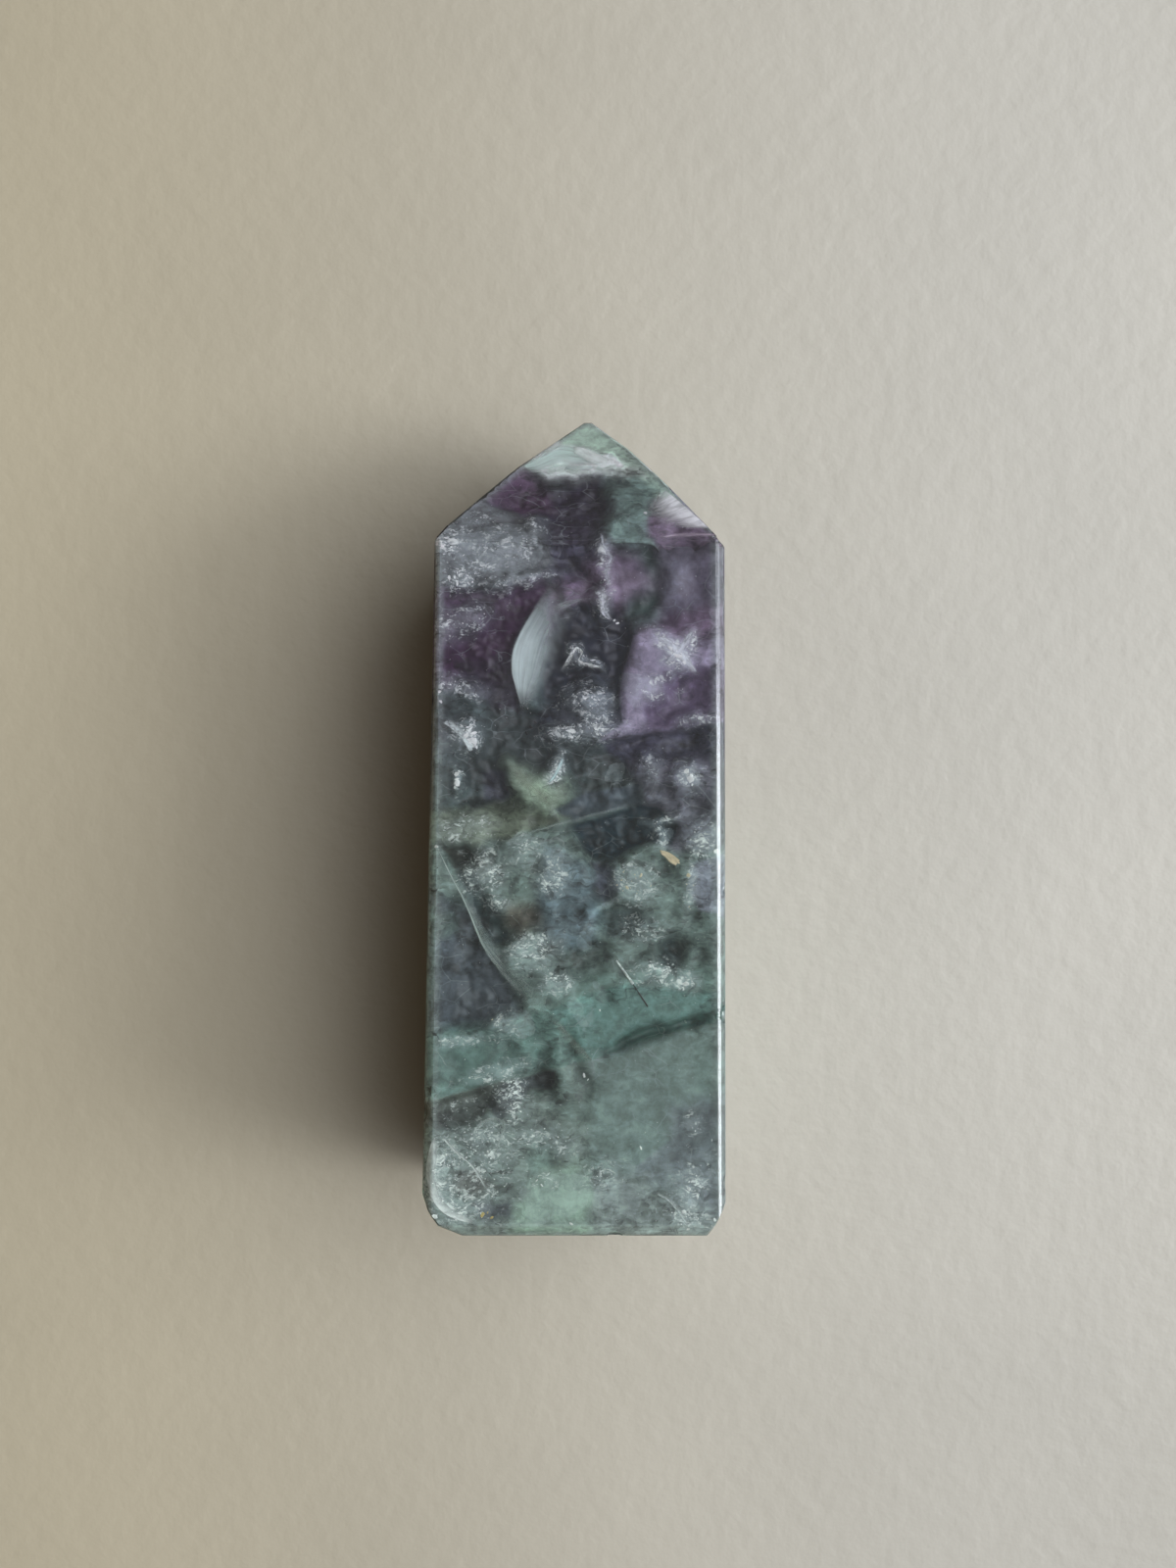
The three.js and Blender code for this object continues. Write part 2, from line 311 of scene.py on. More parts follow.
# Lacy white crusts and snow: where, how far they reach in pixels, turn and strength.
crusts = [
    ("snowBright", 458, 552, 15, 13, 0, 1.25), ("snowBlob", 468, 590, 12, 12, -30, 1.15),
    ("snowWide", 494, 560, 46, 36, 0, 0.62), ("snowArc", 545, 530, 13, 10, -40, 0.6),
    ("snowLine", 530, 592, 34, 5, 14, 0.85), ("snowTop", 488, 528, 30, 8, 20, 0.5),
    ("yellowCrust", 473, 632, 25, 14, 30, 0.8), ("chainHead", 586, 663, 7, 6, 0, 0.95),
    ("chainLeft", 588, 674, 11, 4, 25, 0.95), ("chainRight", 606, 676, 10, 3.5, -25, 0.95),
    ("wispUpper", 616, 572, 6, 26, 8, 0.75), ("wispLower", 615, 614, 8, 15, -12, 0.8),
    ("crustMiddle", 596, 712, 24, 14, 10, 0.8), ("crustFoot", 608, 732, 18, 8, 0, 0.8),
    ("xUpper", 686, 660, 22, 7, -38, 1.1), ("xLower", 696, 667, 22, 7, 62, 1.1),
    ("xMiddle", 691, 670, 14, 13, 0, 1.25), ("mauveSnow", 664, 702, 11, 12, 0, 0.8),
    ("edgeSnow", 712, 733, 16, 5, 6, 0.75), ("plumSnow", 470, 700, 22, 10, -14, 0.65),
    ("whiteCluster", 474, 750, 15, 15, -30, 0.95), ("whiteDrop", 466, 796, 4, 13, 0, 0.9),
    ("crustBelt", 594, 746, 36, 11, 4, 0.88), ("shardFan", 567, 785, 7, 15, -20, 0.8),
    ("eye", 703, 793, 13, 14, 0, 0.85), ("eyeTail", 664, 780, 10, 12, 0, 0.55),
    ("crumbRow", 672, 838, 16, 6, 10, 0.75), ("starlet", 673, 856, 8, 8, 0, 0.8),
    ("rightFoam", 718, 858, 14, 18, 0, 0.8), ("leftFoam", 490, 892, 20, 20, -30, 0.8),
    ("oliveFoam", 470, 845, 26, 12, 10, 0.6), ("blueCloud", 562, 892, 14, 17, 0, 0.75),
    ("greenFoam", 536, 870, 18, 14, 0, 0.6), ("creamCloud", 648, 902, 18, 21, 30, 0.9),
    ("creamEdge", 704, 906, 5, 24, -4, 0.9), ("cloudFoam", 544, 972, 24, 17, 20, 0.8),
    ("cloudLow", 567, 1003, 14, 9, 0, 0.85), ("cloudSmall", 508, 924, 9, 8, 0, 0.75),
    ("cloudRight", 672, 992, 24, 12, 0, 0.65), ("sparks", 700, 1003, 9, 8, 0, 0.9),
    ("darkRim", 654, 948, 26, 12, -10, 0.6), ("skyFoam", 470, 1062, 22, 5, 6, 0.7),
    ("creamBand", 512, 1046, 13, 13, 0, 0.65), ("bandFoot", 505, 1094, 28, 7, 14, 0.75),
    ("webWhole", 478, 1190, 46, 60, -20, 0.68), ("webCorner", 450, 1206, 15, 36, -14, 1.15),
    ("webFoot", 462, 1236, 18, 9, -34, 1.1), ("webMiddle", 492, 1172, 16, 22, 40, 0.85),
    ("webPit", 520, 1124, 18, 22, 30, 0.85), ("webTrail", 552, 1162, 34, 12, -12, 0.7),
    ("paleSpark", 555, 1204, 8, 8, 0, 0.7), ("lowMilk", 610, 1200, 22, 12, 20, 0.6),
    ("rightFrost", 706, 1206, 14, 26, -30, 0.8), ("rightFoot", 702, 1242, 20, 12, -30, 0.85),
    ("ringRight", 706, 1150, 8, 12, 0, 0.7),
]
crustLook = {"deep": 5.0, "edge": 0.8, "wander": (0.9, 0.5), "glow": 0.34, "glowTone": "pearl",
             "grow": 0.2, "strength": (0.6, 0.95)}

# Dark hollows and pale plates with torn borders: where, reach in pixels, and turn.
hollows = [
    (552, 504, 22, 9, -10), (600, 684, 13, 6, 0), (588, 643, 15, 9, 20), (456, 676, 12, 6, 10),
    (492, 624, 20, 5, 12), (700, 702, 15, 11, 0), (464, 880, 7, 15, 30), (497, 938, 6, 13, 25),
    (604, 862, 18, 14, -20), (645, 848, 13, 13, 30), (588, 790, 10, 7, 0), (662, 802, 10, 10, 0),
    (615, 884, 10, 8, 0), (640, 938, 17, 8, -5), (592, 936, 9, 11, 0), (684, 978, 8, 13, 20),
    (702, 961, 9, 5, 0), (452, 925, 10, 8, 0), (470, 992, 22, 7, 8), (449, 1030, 6, 5, 0),
    (510, 1124, 9, 16, -20), (562, 1103, 11, 5, 0), (550, 1178, 16, 7, 24), (508, 1214, 14, 10, 0),
    (480, 1205, 10, 7, 0), (454, 1144, 13, 9, 0), (615, 1198, 12, 7, 0), (508, 1236, 12, 4, 0),
    (620, 1235, 12, 4, 0), (720, 1042, 12, 5, 16), (528, 902, 7, 10, 0), (572, 740, 18, 6, 0),
    (636, 762, 14, 6, 0), (690, 770, 18, 6, 12), (450, 742, 9, 12, 0), (482, 820, 12, 6, 0),
    (655, 886, 10, 6, 0), (588, 980, 9, 7, 0), (486, 962, 6, 9, 0), (622, 975, 8, 6, 0),
    (690, 1225, 8, 9, 0),
]
plates = [
    (508, 556, 45, 29, -8), (479, 752, 11, 8, -30), (467, 796, 3.5, 11, 0), (564, 786, 5, 15, -20),
    (703, 793, 9, 12, 0), (628, 790, 11, 10, 30), (566, 884, 12, 20, 0), (497, 890, 9, 10, 0),
    (648, 900, 12, 14, 30), (705, 905, 6, 19, 0), (720, 860, 15, 14, 0), (675, 856, 8, 7, 0),
    (652, 957, 17, 4, -10), (530, 970, 25, 11, 20), (567, 1003, 12, 8, 0), (606, 1001, 6, 6, 0),
    (692, 1001, 14, 8, 0), (467, 1060, 20, 6, 6), (526, 1047, 24, 11, 0), (512, 1094, 8, 8, 0),
    (590, 1034, 9, 16, 20), (630, 920, 20, 5, 10), (688, 664, 15, 9, -40), (568, 1222, 38, 24, 30),
    (632, 1222, 26, 18, 0), (472, 1230, 20, 8, -40), (443, 1198, 7, 26, 0), (494, 1158, 13, 8, 30),
    (480, 924, 9, 7, 0), (540, 858, 22, 8, 8), (642, 700, 14, 18, 0), (598, 960, 12, 14, 0),
    (706, 1210, 12, 20, -20), (610, 720, 22, 12, 0),
]
breaks = {"reach": 1.4, "deep": 6, "wander": (0.55, 1.0), "ragged": (0.9, 0.5), "edge": 0.14,
          "dark": 0.37, "pale": 0.18, "hollowSeed": 21, "plateSeed": 22}

# Where the stone is smooth and even inside, and how much it clouds elsewhere.
calm = [
    ("milkRight", 674, 1120, 78, 84), ("wedge", 612, 824, 48, 16), ("sage", 603, 440, 46, 22),
    ("plume", 552, 656, 34, 52), ("slate", 600, 650, 40, 30), ("paleGreen", 566, 1228, 48, 36),
    ("violetLeft", 474, 1010, 34, 34), ("leftGrey", 525, 762, 50, 26), ("mauve", 676, 700, 44, 44),
    ("greyRight", 706, 590, 40, 44), ("tealSide", 655, 590, 28, 40),
    ("plumSide", 500, 650, 44, 30), ("bandLeft", 480, 1085, 54, 26),
    ("duskPatch", 560, 520, 46, 30), ("greenBand", 660, 1040, 70, 20),
]
calmLook = {"deep": 9.0, "edge": 0.4}
cloudiness = {"scale": 0.42, "octaves": 4, "amount": 0.62, "calm": 0.75, "limits": (-0.8, 1.1)}

sequence = [  # the main colours from the base up to the tip, each at its height
    (-43, "milkGrey"), (-36, "milkGreen"), (-26, "webGrey"), (-20, "seaGreen"), (-12, "leafGrey"),
    (-3, "greyGreen"), (4, "violetGrey"), (12, "slate"), (22, "plum"), (30, "grey"),
    (35, "dusk"), (40, "sage"),
]

# How the tones lie and wander, and how deep the stone is clear over dark and pale ones.
# The glow is painted light: it makes the faces that lean away from the window lighter.
layers = {"slant": -0.2, "broad": (0.10, 2.2), "fine": (0.6, 0.45), "drift": 0.11,
          "drifting": (("lavender", 0.05, 0.35), ("teal", -0.05, -0.35)), "driftShare": 0.4,
          "straight": 0.3, "clearDepth": 3.2, "clearFrom": 0.03, "milkyFrom": 0.20,
          "crusted": 0.7, "clearEdge": 2.5, "glow": 0.9, "brightest": 0.8,
          "brightness": (0.21, 0.72, 0.07)}

# Near the stone's edges: a pale rim that is a painted glow along the edges, another that is
# painted light on the faces that lean away from the window, and the light that seeps through there.
rims = {"pale": (0.9, 0.1), "tone": "milkGrey", "share": 0.5, "angle": 20, "paintedLightInShade": 0.35,
        "shade": (1.4, 0.3), "seep": (6.0, 0), "paintedLightInShadeFrom": (0.1, 0.7), "seepFrom": (0.05, 0.4),
        "side": 0.25, "base": -0.5, "point": 0.3, "pointLean": 0.8, "upLean": 0.6}

# Zones and crusts on the faces that the photo does not show, strewn from a seed.
elsewhere = {"seed": 11, "patches": 60, "reach": (1.6, 5.5), "share": 0.8,
             "crusts": 70, "crustReach": (0.6, 3.2), "breaks": 60, "drift": 9, "edge": 0.5,
             "frontDepth": 2, "outside": 0.01}


def eased01(value, low, high):  # 0 to 1 between low and high, softly
    share = np.clip((value - low) / (high - low), 0, 1)
    return share * share * (3 - 2 * share)


def noiseAt(places, scale, amount):  # an offset for each place
    return np.array([noise.noise_vector(Vector(p) * scale) for p in places]) * amount


def blended(colour, tone, share):  # lays a tone over the colours by a share for each place
    share = np.reshape(share, (-1, 1))
    return colour * (1 - share) + tone * share


def insideOutline(places, outline, edge):  # 1 inside an outline in the photo, 0 outside
    corners = [np.array(photoPlace(*p)[:2]) for p in outline]
    x, y = places[:, 0], places[:, 1]
    nearest = np.full(len(places), 1e9)
    inside = np.zeros(len(places), dtype=bool)
    for a, b in zip(corners, corners[1:] + corners[:1]):
        side = b - a
        share = np.clip(((x - a[0]) * side[0] + (y - a[1]) * side[1]) / (side @ side), 0, 1)
        away = np.hypot(x - a[0] - share * side[0], y - a[1] - share * side[1])
        nearest = np.minimum(nearest, away)
        crossed = (a[1] > y) != (b[1] > y)
        inside ^= crossed & (x < a[0] + (y - a[1]) / (side[1] or 1e-9) * side[0])
    return eased01(np.where(inside, nearest, -nearest), -edge, edge)


def insideRound(places, centre, reach, turn, edge):  # 1 inside an oval, 0 outside
    turned = (places - np.array(centre)) @ np.array(Matrix.Rotation(math.radians(turn), 3, "Z"))
    return eased01(np.linalg.norm(turned / np.array(reach), axis=1), 1 + edge, 1 - edge)


def breakField(places, spots, seed):  # how far inside the nearest spot a place is, in mm
    wandered = places + noiseAt(places, *breaks["wander"])
    field = np.full(len(places), -breaks["reach"])
    for x, y, *reach, turn in spots:
        across, along = (r / pixelsPerMm for r in reach)
        away = (wandered - np.array(photoPlace(x, y)))[:, :2]
        away = away @ np.array(Matrix.Rotation(math.radians(turn), 2)) / (across, along)
        inside = (1 - np.linalg.norm(away, axis=1)) * min(across, along)
        field = np.maximum(field, np.minimum(inside, breaks["reach"]))
    field = np.where(underFront(places, breaks["deep"]) > 0.5, field, -breaks["reach"])
    for _, (dice, at) in zip(range(elsewhere["breaks"]), strewn(seed)):
        reach = np.array([dice.uniform(*elsewhere["crustReach"]) for _ in range(3)])
        turn = np.array(Matrix.Rotation(dice.uniform(0, math.pi), 3, "Z"))
        inside = (1 - np.linalg.norm((wandered - np.array(at)) @ turn / reach, axis=1)) * min(reach)
        field = np.maximum(field, np.minimum(inside, breaks["reach"]))
    return field


def underFront(places, deep):  # 1 near the front, 0 deeper than a zone goes
    front = np.interp(places[:, 1], *zip(*faceProfile))
    return eased01(front - places[:, 2], deep + frontFade[0], deep + frontFade[1])


def toneUnderGlass(name):  # the tone that is seen as itself through the glass
    seen = np.array(srgb(*palette[name])[:3])
    return np.maximum((seen - underGlass["added"]) / underGlass["passed"], underGlass["least"])


tones = {name: toneUnderGlass(name) for name in palette}


def strewn(seed):  # places on the sides, the back and the ends, always the same ones
    dice = random.Random(seed)
    while True:
        at, out = dice.choice(facePlanes)
        if out.z > frontLean:
            continue
        low, high = Vector(cadBox[0]) / mm, Vector(cadBox[1]) / mm
        place = Vector(dice.uniform(low[i], high[i]) for i in range(3))
        yield dice, place - out * (place - at).dot(out)


def edgeDistance(places):  # how far the nearest real edge is, and how the face leans
    outs = np.array([out for _, out in facePlanes])
    away = np.array([(np.array(at) - places) @ np.array(out) for at, out in facePlanes])
    own = away.argmin(axis=0)
    turn = np.sqrt(np.clip(1 - (outs @ outs[own].T) ** 2, 1e-6, 1))
    bent = outs @ outs[own].T < math.cos(math.radians(rims["angle"]))
    sides = np.abs(outs[:, 0]) > rims["side"]
    base = outs[:, 1] < rims["base"]
    bent &= sides[:, None] | sides[own] | base[:, None] | base[own]
    lean = np.minimum(outs[:, 0], rims["upLean"] * outs[:, 1])
    lean = np.where(outs[:, 1] > rims["point"], -rims["pointLean"] * np.abs(outs[:, 0]), lean)
    return np.where(bent, away / turn, 1e3).min(axis=0), lean[own]


def baseTones(places, nudged, warped, spots):  # the tones along the stone, and strewn patches
    level = warped[:, 1] + layers["slant"] * warped[:, 0]
    heights = [height for height, _ in sequence]
    colour = np.stack([np.interp(level, heights, [tones[name][c] for _, name in sequence])
                       for c in range(3)], axis=1)
    drift = noiseAt(warped, layers["drift"], 1.0)[:, 0]
    for name, low, high in layers["drifting"]:
        colour = blended(colour, tones[name], layers["driftShare"] * eased01(drift, low, high))
    stray = elsewhere["drift"]
    for _, (dice, at) in zip(range(elsewhere["patches"]), spots):
        near = min(range(len(heights)),
                   key=lambda i: abs(heights[i] - at.y - dice.uniform(-stray, stray)))
        reach = [dice.uniform(*elsewhere["reach"]) for _ in range(3)]
        mask = insideRound(nudged, at, reach, dice.uniform(0, 180), elsewhere["edge"])
        share = elsewhere["share"] * mask * (1 - underFront(places, elsewhere["frontDepth"]))
        colour = blended(colour, tones[sequence[near][1]], share)
    return colour


def photoZones(colour, places, nudged):  # the zones of the photo, laid over one another
    for _, name, edge, strength, deep, outline in zones:
        moved = places if edge < layers["straight"] else nudged
        share = strength * insideOutline(moved, outline, edge) * underFront(places, deep)
        colour = blended(colour, tones[name], share)
    return colour


def stillnessAt(places):  # 1 where the stone is even inside
    still = np.zeros(len(places))
    for _, x, y, across, along in calm:
        reach = (across / pixelsPerMm, along / pixelsPerMm, calmLook["deep"])
        still = np.maximum(still, insideRound(places, photoPlace(x, y), reach, 0, calmLook["edge"]))
    return still


def crustsAt(places, spots):  # how thick the white crusts are
    crust = np.zeros(len(places))
    wandered = places + noiseAt(places, *crustLook["wander"])
    for _, x, y, across, along, turn, strength in crusts:
        reach = [r / pixelsPerMm + crustLook["grow"] for r in (across, along)]
        reach.append(crustLook["deep"])
        mask = insideRound(wandered, photoPlace(x, y), reach, turn, crustLook["edge"])
        crust = np.maximum(crust, strength * mask)
    for _, (dice, at) in zip(range(elsewhere["crusts"]), spots):
        reach = [dice.uniform(*elsewhere["crustReach"]) for _ in range(3)]
        mask = insideRound(wandered, at, reach, dice.uniform(0, 180), crustLook["edge"])
        crust = np.maximum(crust, dice.uniform(*crustLook["strength"]) * mask)
    return crust


def zonesAt(places):  # the tone at each place, with painted light at the edges and on faces that lean away from the window, how deep it is clear, its crust and its marks
    nudged = places + noiseAt(places, *layers["fine"])
    warped = nudged + noiseAt(places, *layers["broad"])
    spots = strewn(elsewhere["seed"])
    colour = photoZones(baseTones(places, nudged, warped, spots), places, nudged)
    still = stillnessAt(places)
    puffs = [fractal(Vector(p), cloudiness["scale"], cloudiness["octaves"]) for p in warped]
    puffs = np.clip(puffs, *cloudiness["limits"]) * cloudiness["amount"]
    colour = colour * np.exp(puffs * (1 - cloudiness["calm"] * still))[:, None]
    crust = crustsAt(places, spots)
    glow = crustLook["glow"] * np.clip(crust, 0, 1)
    colour = blended(colour, tones[crustLook["glowTone"]], glow)
    light = colour @ np.array(layers["brightness"])
    toEdge, lean = edgeDistance(places)
    clear = layers["clearDepth"] * (1 - eased01(light, layers["clearFrom"], layers["milkyFrom"]))
    clear = (clear + zonesBody["skin"]) * (1 - layers["crusted"] * crust)
    clear = clear * eased01(toEdge, 0.0, layers["clearEdge"])
    # painted light: a pale glow along the edges, and lighter faces where they lean away from the window
    paintedEdgeGlow = rims["share"] * eased01(toEdge, *rims["pale"])
    paintedLightInShade = rims["paintedLightInShade"] * eased01(-lean, *rims["paintedLightInShadeFrom"]) * eased01(toEdge, *rims["shade"])
    colour = blended(colour, tones[rims["tone"]], np.maximum(paintedEdgeGlow, paintedLightInShade))
    # painted light: faces that lean to the left and the point's slopes are made lighter, as if light
    # came through the stone to them
    colour = colour * (1 + layers["glow"] * np.clip(-lean, 0, 1)[:, None])
    seep = eased01(-lean, *rims["seepFrom"]) * eased01(toEdge, *rims["seep"])
    marked = [breakField(places, hollows, breaks["hollowSeed"]),
              breakField(places, plates, breaks["plateSeed"]), still, seep]
    return np.minimum(colour, layers["brightest"]), clear, crust, np.stack(marked, axis=1)


def newGroup(name, inputs, outputs):  # an empty node group with its sockets
    tree = bpy.data.node_groups.new(name, "ShaderNodeTree")
    for title, kind, value in inputs:
        socket = tree.interface.new_socket(title, in_out="INPUT", socket_type="NodeSocket" + kind)
        if value is not None:
            socket.default_value = value
    for title, kind in outputs:
        tree.interface.new_socket(title, in_out="OUTPUT", socket_type="NodeSocket" + kind)
    return tree, tree.nodes.new("NodeGroupInput").outputs, tree.nodes.new("NodeGroupOutput")


def splinters(tree, place, turn, scale):  # pieces with straight borders, each with painted shading that slopes its own way, like a tilted facet in the light
    where = slanted(tree, place, turn, scale)
    cells = put(tree, "TexVoronoi", {"Vector": where, "Scale": 1.0}).outputs
    inside = put(tree, "VectorMath", {0: where, 1: cells["Position"]}, operation="SUBTRACT")
    lean = put(tree, "VectorMath", {0: cells["Color"], 1: (0.5, 0.5, 0.5)}, operation="SUBTRACT")
    slope = put(tree, "VectorMath", {0: inside.outputs[0], 1: lean.outputs[0]},
                operation="DOT_PRODUCT").outputs["Value"]
    return slope, put(tree, "SeparateColor", {0: cells["Color"]}).outputs[0]


# The noises that the marks are made of, by scale per millimetre, detail and roughness,
# and how each pattern is turned and stretched.
markNoise = {
    "bent": (0.5, 2.0, 0.6), "milk": (0.6, 6.0, 0.7), "fine": (2.6, 4.0, 0.75),
    "coarse": (0.9, 3.0, 0.6), "parts": (0.2, 2.0), "patchy": (0.42, 2.0), "barbs": (1.0, 4.0, 0.72),
}
markTurns = {
    "slabs": ((0.3, 0.2, 0.35), (0.16, 0.34, 0.2)), "big": ((0.3, 0.5, 0.6), (0.34, 0.62, 0.4)),
    "small": ((0.9, 0.2, 2.3), (1.1, 1.9, 1.3)), "barbs": ((0.2, 0.3, 0.9), (0.5, 2.4, 0.8)),
    "flecks": ((0.4, 0.9, 0.5), (3.6, 6.0, 4.4)),
}

# How strong the marks are and over which noise values they fade in.
markLook = {
    "warp": 1.6, "nudge": 0.9, "slabNudge": 0.5, "slabScale": 1.7, "crackWidth": 0.028,
    "crackParts": (0.48, 0.62), "bigFacets": 0.75, "smallFacets": 0.85, "still": 0.8,
    "barbs": (0.36, 0.66, -0.14, 0.26), "barbParts": (0.56, 0.42), "haze": (0.32, 0.70, 0.66, 1.36),
    "hazeLeast": 0.12, "torn": (0.28, 0.44, 0.10, 0.18), "tornRange": (0.32, 0.66),
    "darkIn": (0.68, 0.46), "paleIn": (0.30, 0.62, 0.45, 1.15), "patchy": (0.36, 0.60, 0.52, 1.08),
    "crust": 0.46, "lace": 0.36, "dust": (0.26, 0.30), "veinAt": 0.52, "veinWidth": 0.014,
    "veinCrust": (0.25, 0.9, 0.0, 0.8), "veinTorn": (0.25, 0.7),
}


def makeMarks():  # clouds, splinters with painted facet shading, hollows and plates, straight breaks and torn white lace
    tree, given, result = newGroup(
        "stoneMarks", [("Place", "Vector", None), ("Crust", "Float", 0.0), ("Dark", "Float", -2.0),
                       ("Pale", "Float", -2.0), ("Still", "Float", 0.0)],
        [("HazeAndPaintedShade", "Color"), ("Lace", "Float"), ("Dust", "Float"), ("Cracks", "Float"),
         ("Bloom", "Float")])
    look, place = markLook, given["Place"]
    bent = clouds(tree, place, *markNoise["bent"], output="Color")
    warped = pushed(tree, place, bent, look["warp"])
    nudged = pushed(tree, place, bent, look["nudge"])
    milk, fine, coarse, patchy = (clouds(tree, warped, *markNoise[name])
                                  for name in ("milk", "fine", "coarse", "patchy"))
    parts = clouds(tree, place, *markNoise["parts"])

    slabs = slanted(tree, pushed(tree, place, bent, look["slabNudge"]), *markTurns["slabs"])
    borders = put(tree, "TexVoronoi", {"Vector": slabs, "Scale": look["slabScale"]},
                  feature="DISTANCE_TO_EDGE").outputs[0]
    cracks = times(tree, eased(tree, borders, look["crackWidth"], 0.0),
                   eased(tree, parts, *look["crackParts"]))

    # painted shading: each splinter is lighter to one side and darker to the other, like a tilted facet
    # in the light
    bigSlope, _ = splinters(tree, nudged, *markTurns["big"])
    smallSlope, smallTone = splinters(tree, nudged, *markTurns["small"])
    paintedFacetShade = calc(tree, "MULTIPLY_ADD", bigSlope, look["bigFacets"],
                  times(tree, smallSlope, look["smallFacets"]))
    barbs = clouds(tree, slanted(tree, warped, *markTurns["barbs"]), *markNoise["barbs"])
    barbs = times(tree, eased(tree, barbs, *look["barbs"]), eased(tree, parts, *look["barbParts"]))
    lively = calc(tree, "MULTIPLY_ADD", given["Still"], -look["still"], 1.0)
    uneven = times(tree, calc(tree, "ADD", barbs, paintedFacetShade), lively)
    haze = calc(tree, "ADD", eased(tree, milk, *look["haze"]), uneven)

    flecks = slanted(tree, warped, *markTurns["flecks"])
    flecks = put(tree, "TexVoronoi", {"Vector": flecks, "Scale": 1.0}).outputs["Color"]
    fleck = put(tree, "SeparateColor", {0: flecks}).outputs[0]
    torn = 0.0
    for part, share in zip((fine, coarse, smallTone, fleck), look["torn"]):
        torn = calc(tree, "MULTIPLY_ADD", part, share, torn)
    torn = eased(tree, torn, *look["tornRange"])

    rough, ragged = breaks["ragged"]
    away = calc(tree, "MULTIPLY_ADD", coarse, rough, -0.5 * (rough + ragged))
    away = calc(tree, "MULTIPLY_ADD", fine, ragged, away)
    dark, pale = (eased(tree, calc(tree, "ADD", given[name], away), 0.0, breaks["edge"])
                  for name in ("Dark", "Pale"))
    dark = times(tree, dark, eased(tree, milk, *look["darkIn"]))
    pale = times(tree, pale, eased(tree, fine, *look["paleIn"]))
    haze = times(tree, haze, calc(tree, "MULTIPLY_ADD", dark, -breaks["dark"], 1.0))
    haze = times(tree, haze, calc(tree, "MULTIPLY_ADD", pale, breaks["pale"], 1.0))

    crust = times(tree, given["Crust"], eased(tree, patchy, *look["patchy"]))
    start = calc(tree, "MULTIPLY_ADD", crust, -look["crust"], 1.0)
    lace = put(tree, "MapRange", {"Value": torn, "From Min": start,
                                  "From Max": calc(tree, "ADD", start, look["lace"])}).outputs[0]
    lace = times(tree, lace, eased(tree, fleck, 0.0, 1.0, 0.5, 1.0))
    dust = put(tree, "MapRange", {
        "Value": torn, "From Min": calc(tree, "SUBTRACT", start, look["dust"][0]),
        "From Max": calc(tree, "ADD", start, look["dust"][1])}).outputs[0]
    veins = calc(tree, "ABSOLUTE", calc(tree, "SUBTRACT", milk, look["veinAt"]))
    veins = times(tree, eased(tree, veins, look["veinWidth"], 0.0),
                  eased(tree, crust, *look["veinCrust"]))
    veins = times(tree, veins, eased(tree, torn, *look["veinTorn"]))

    haze = grey(tree, calc(tree, "MAXIMUM", haze, look["hazeLeast"]))
    lace = calc(tree, "MAXIMUM", lace, veins)
    for value, name in zip((haze, lace, dust, cracks, pale),
                           ("HazeAndPaintedShade", "Lace", "Dust", "Cracks", "Bloom")):
        tree.links.new(value, result.inputs[name])
    return tree


marksGroup = makeMarks()


def placeCamera():  # straight over the stone, as in the photo
    lens = bpy.data.cameras.new("camera")
    lens.lens = camera["lens"]
    lens.sensor_width = camera["sensor"]
    lens.clip_start = camera["clip"] * mm
    made = bpy.data.objects.new("camera", lens)
    made.location = Vector((camera["across"], camera["along"], camera["height"])) * mm
    scene.collection.objects.link(made)
    scene.camera = made


room = {
    "window": (0.64, 0.09, 0.76), "windowEdge": (0.80, 0.97), "windowLight": 4.6,
    "pane": (0.84, -0.12, 0.53), "paneEdge": (0.972, 0.99), "paneLight": 15.0,
    "colour": (0.93, 0.96, 1.0, 1.0), "dim": (0.076, 0.048, 0.018, 1.0),
    "bright": (0.52, 0.54, 0.57, 1.0), "turn": (-0.45, 0.70),
}


def lightFrom(tree, towards, name):  # the light of the window or of its brightest pane
    facing = put(tree, "VectorMath", {0: towards, 1: Vector(room[name]).normalized()},
                 operation="DOT_PRODUCT").outputs["Value"]
    return times(tree, eased(tree, facing, *room[name + "Edge"]), room[name + "Light"])


def lightRoom():  # a soft window to the right, in a room that is dim and warm to the left
    world = bpy.data.worlds.new("room")
    scene.world = world
    world.use_nodes = True
    tree = world.node_tree
    tree.nodes.clear()
    towards = put(tree, "TexCoord").outputs["Generated"]
    light = calc(tree, "ADD", *(lightFrom(tree, towards, name) for name in ("window", "pane")))
    side = put(tree, "SeparateXYZ", {0: towards}).outputs[0]
    walls = mixed(tree, eased(tree, side, *room["turn"]), room["dim"], room["bright"])
    window = mixed(tree, 1.0, room["colour"], grey(tree, light), "MULTIPLY")
    sky = put(tree, "Background", {"Color": mixed(tree, 1.0, walls, window, "ADD")})
    tree.links.new(sky.outputs[0], put(tree, "OutputWorld").inputs[0])


# The floor's paint runs from a darker, warmer colour at the left to a lighter, greyer one at the right:
# this change across is painted shade and light from the window side.
paint = {"size": 600, "left": (161, 152, 131), "right": (171, 167, 157), "spread": (-75, 60),
         "patches": 0.012, "shades": (0.3, 0.7, 0.94, 1.04), "roughness": 0.42,
         "stipple": 0.35, "dimples": 0.55, "dimpleDepth": 0.2 * mm}


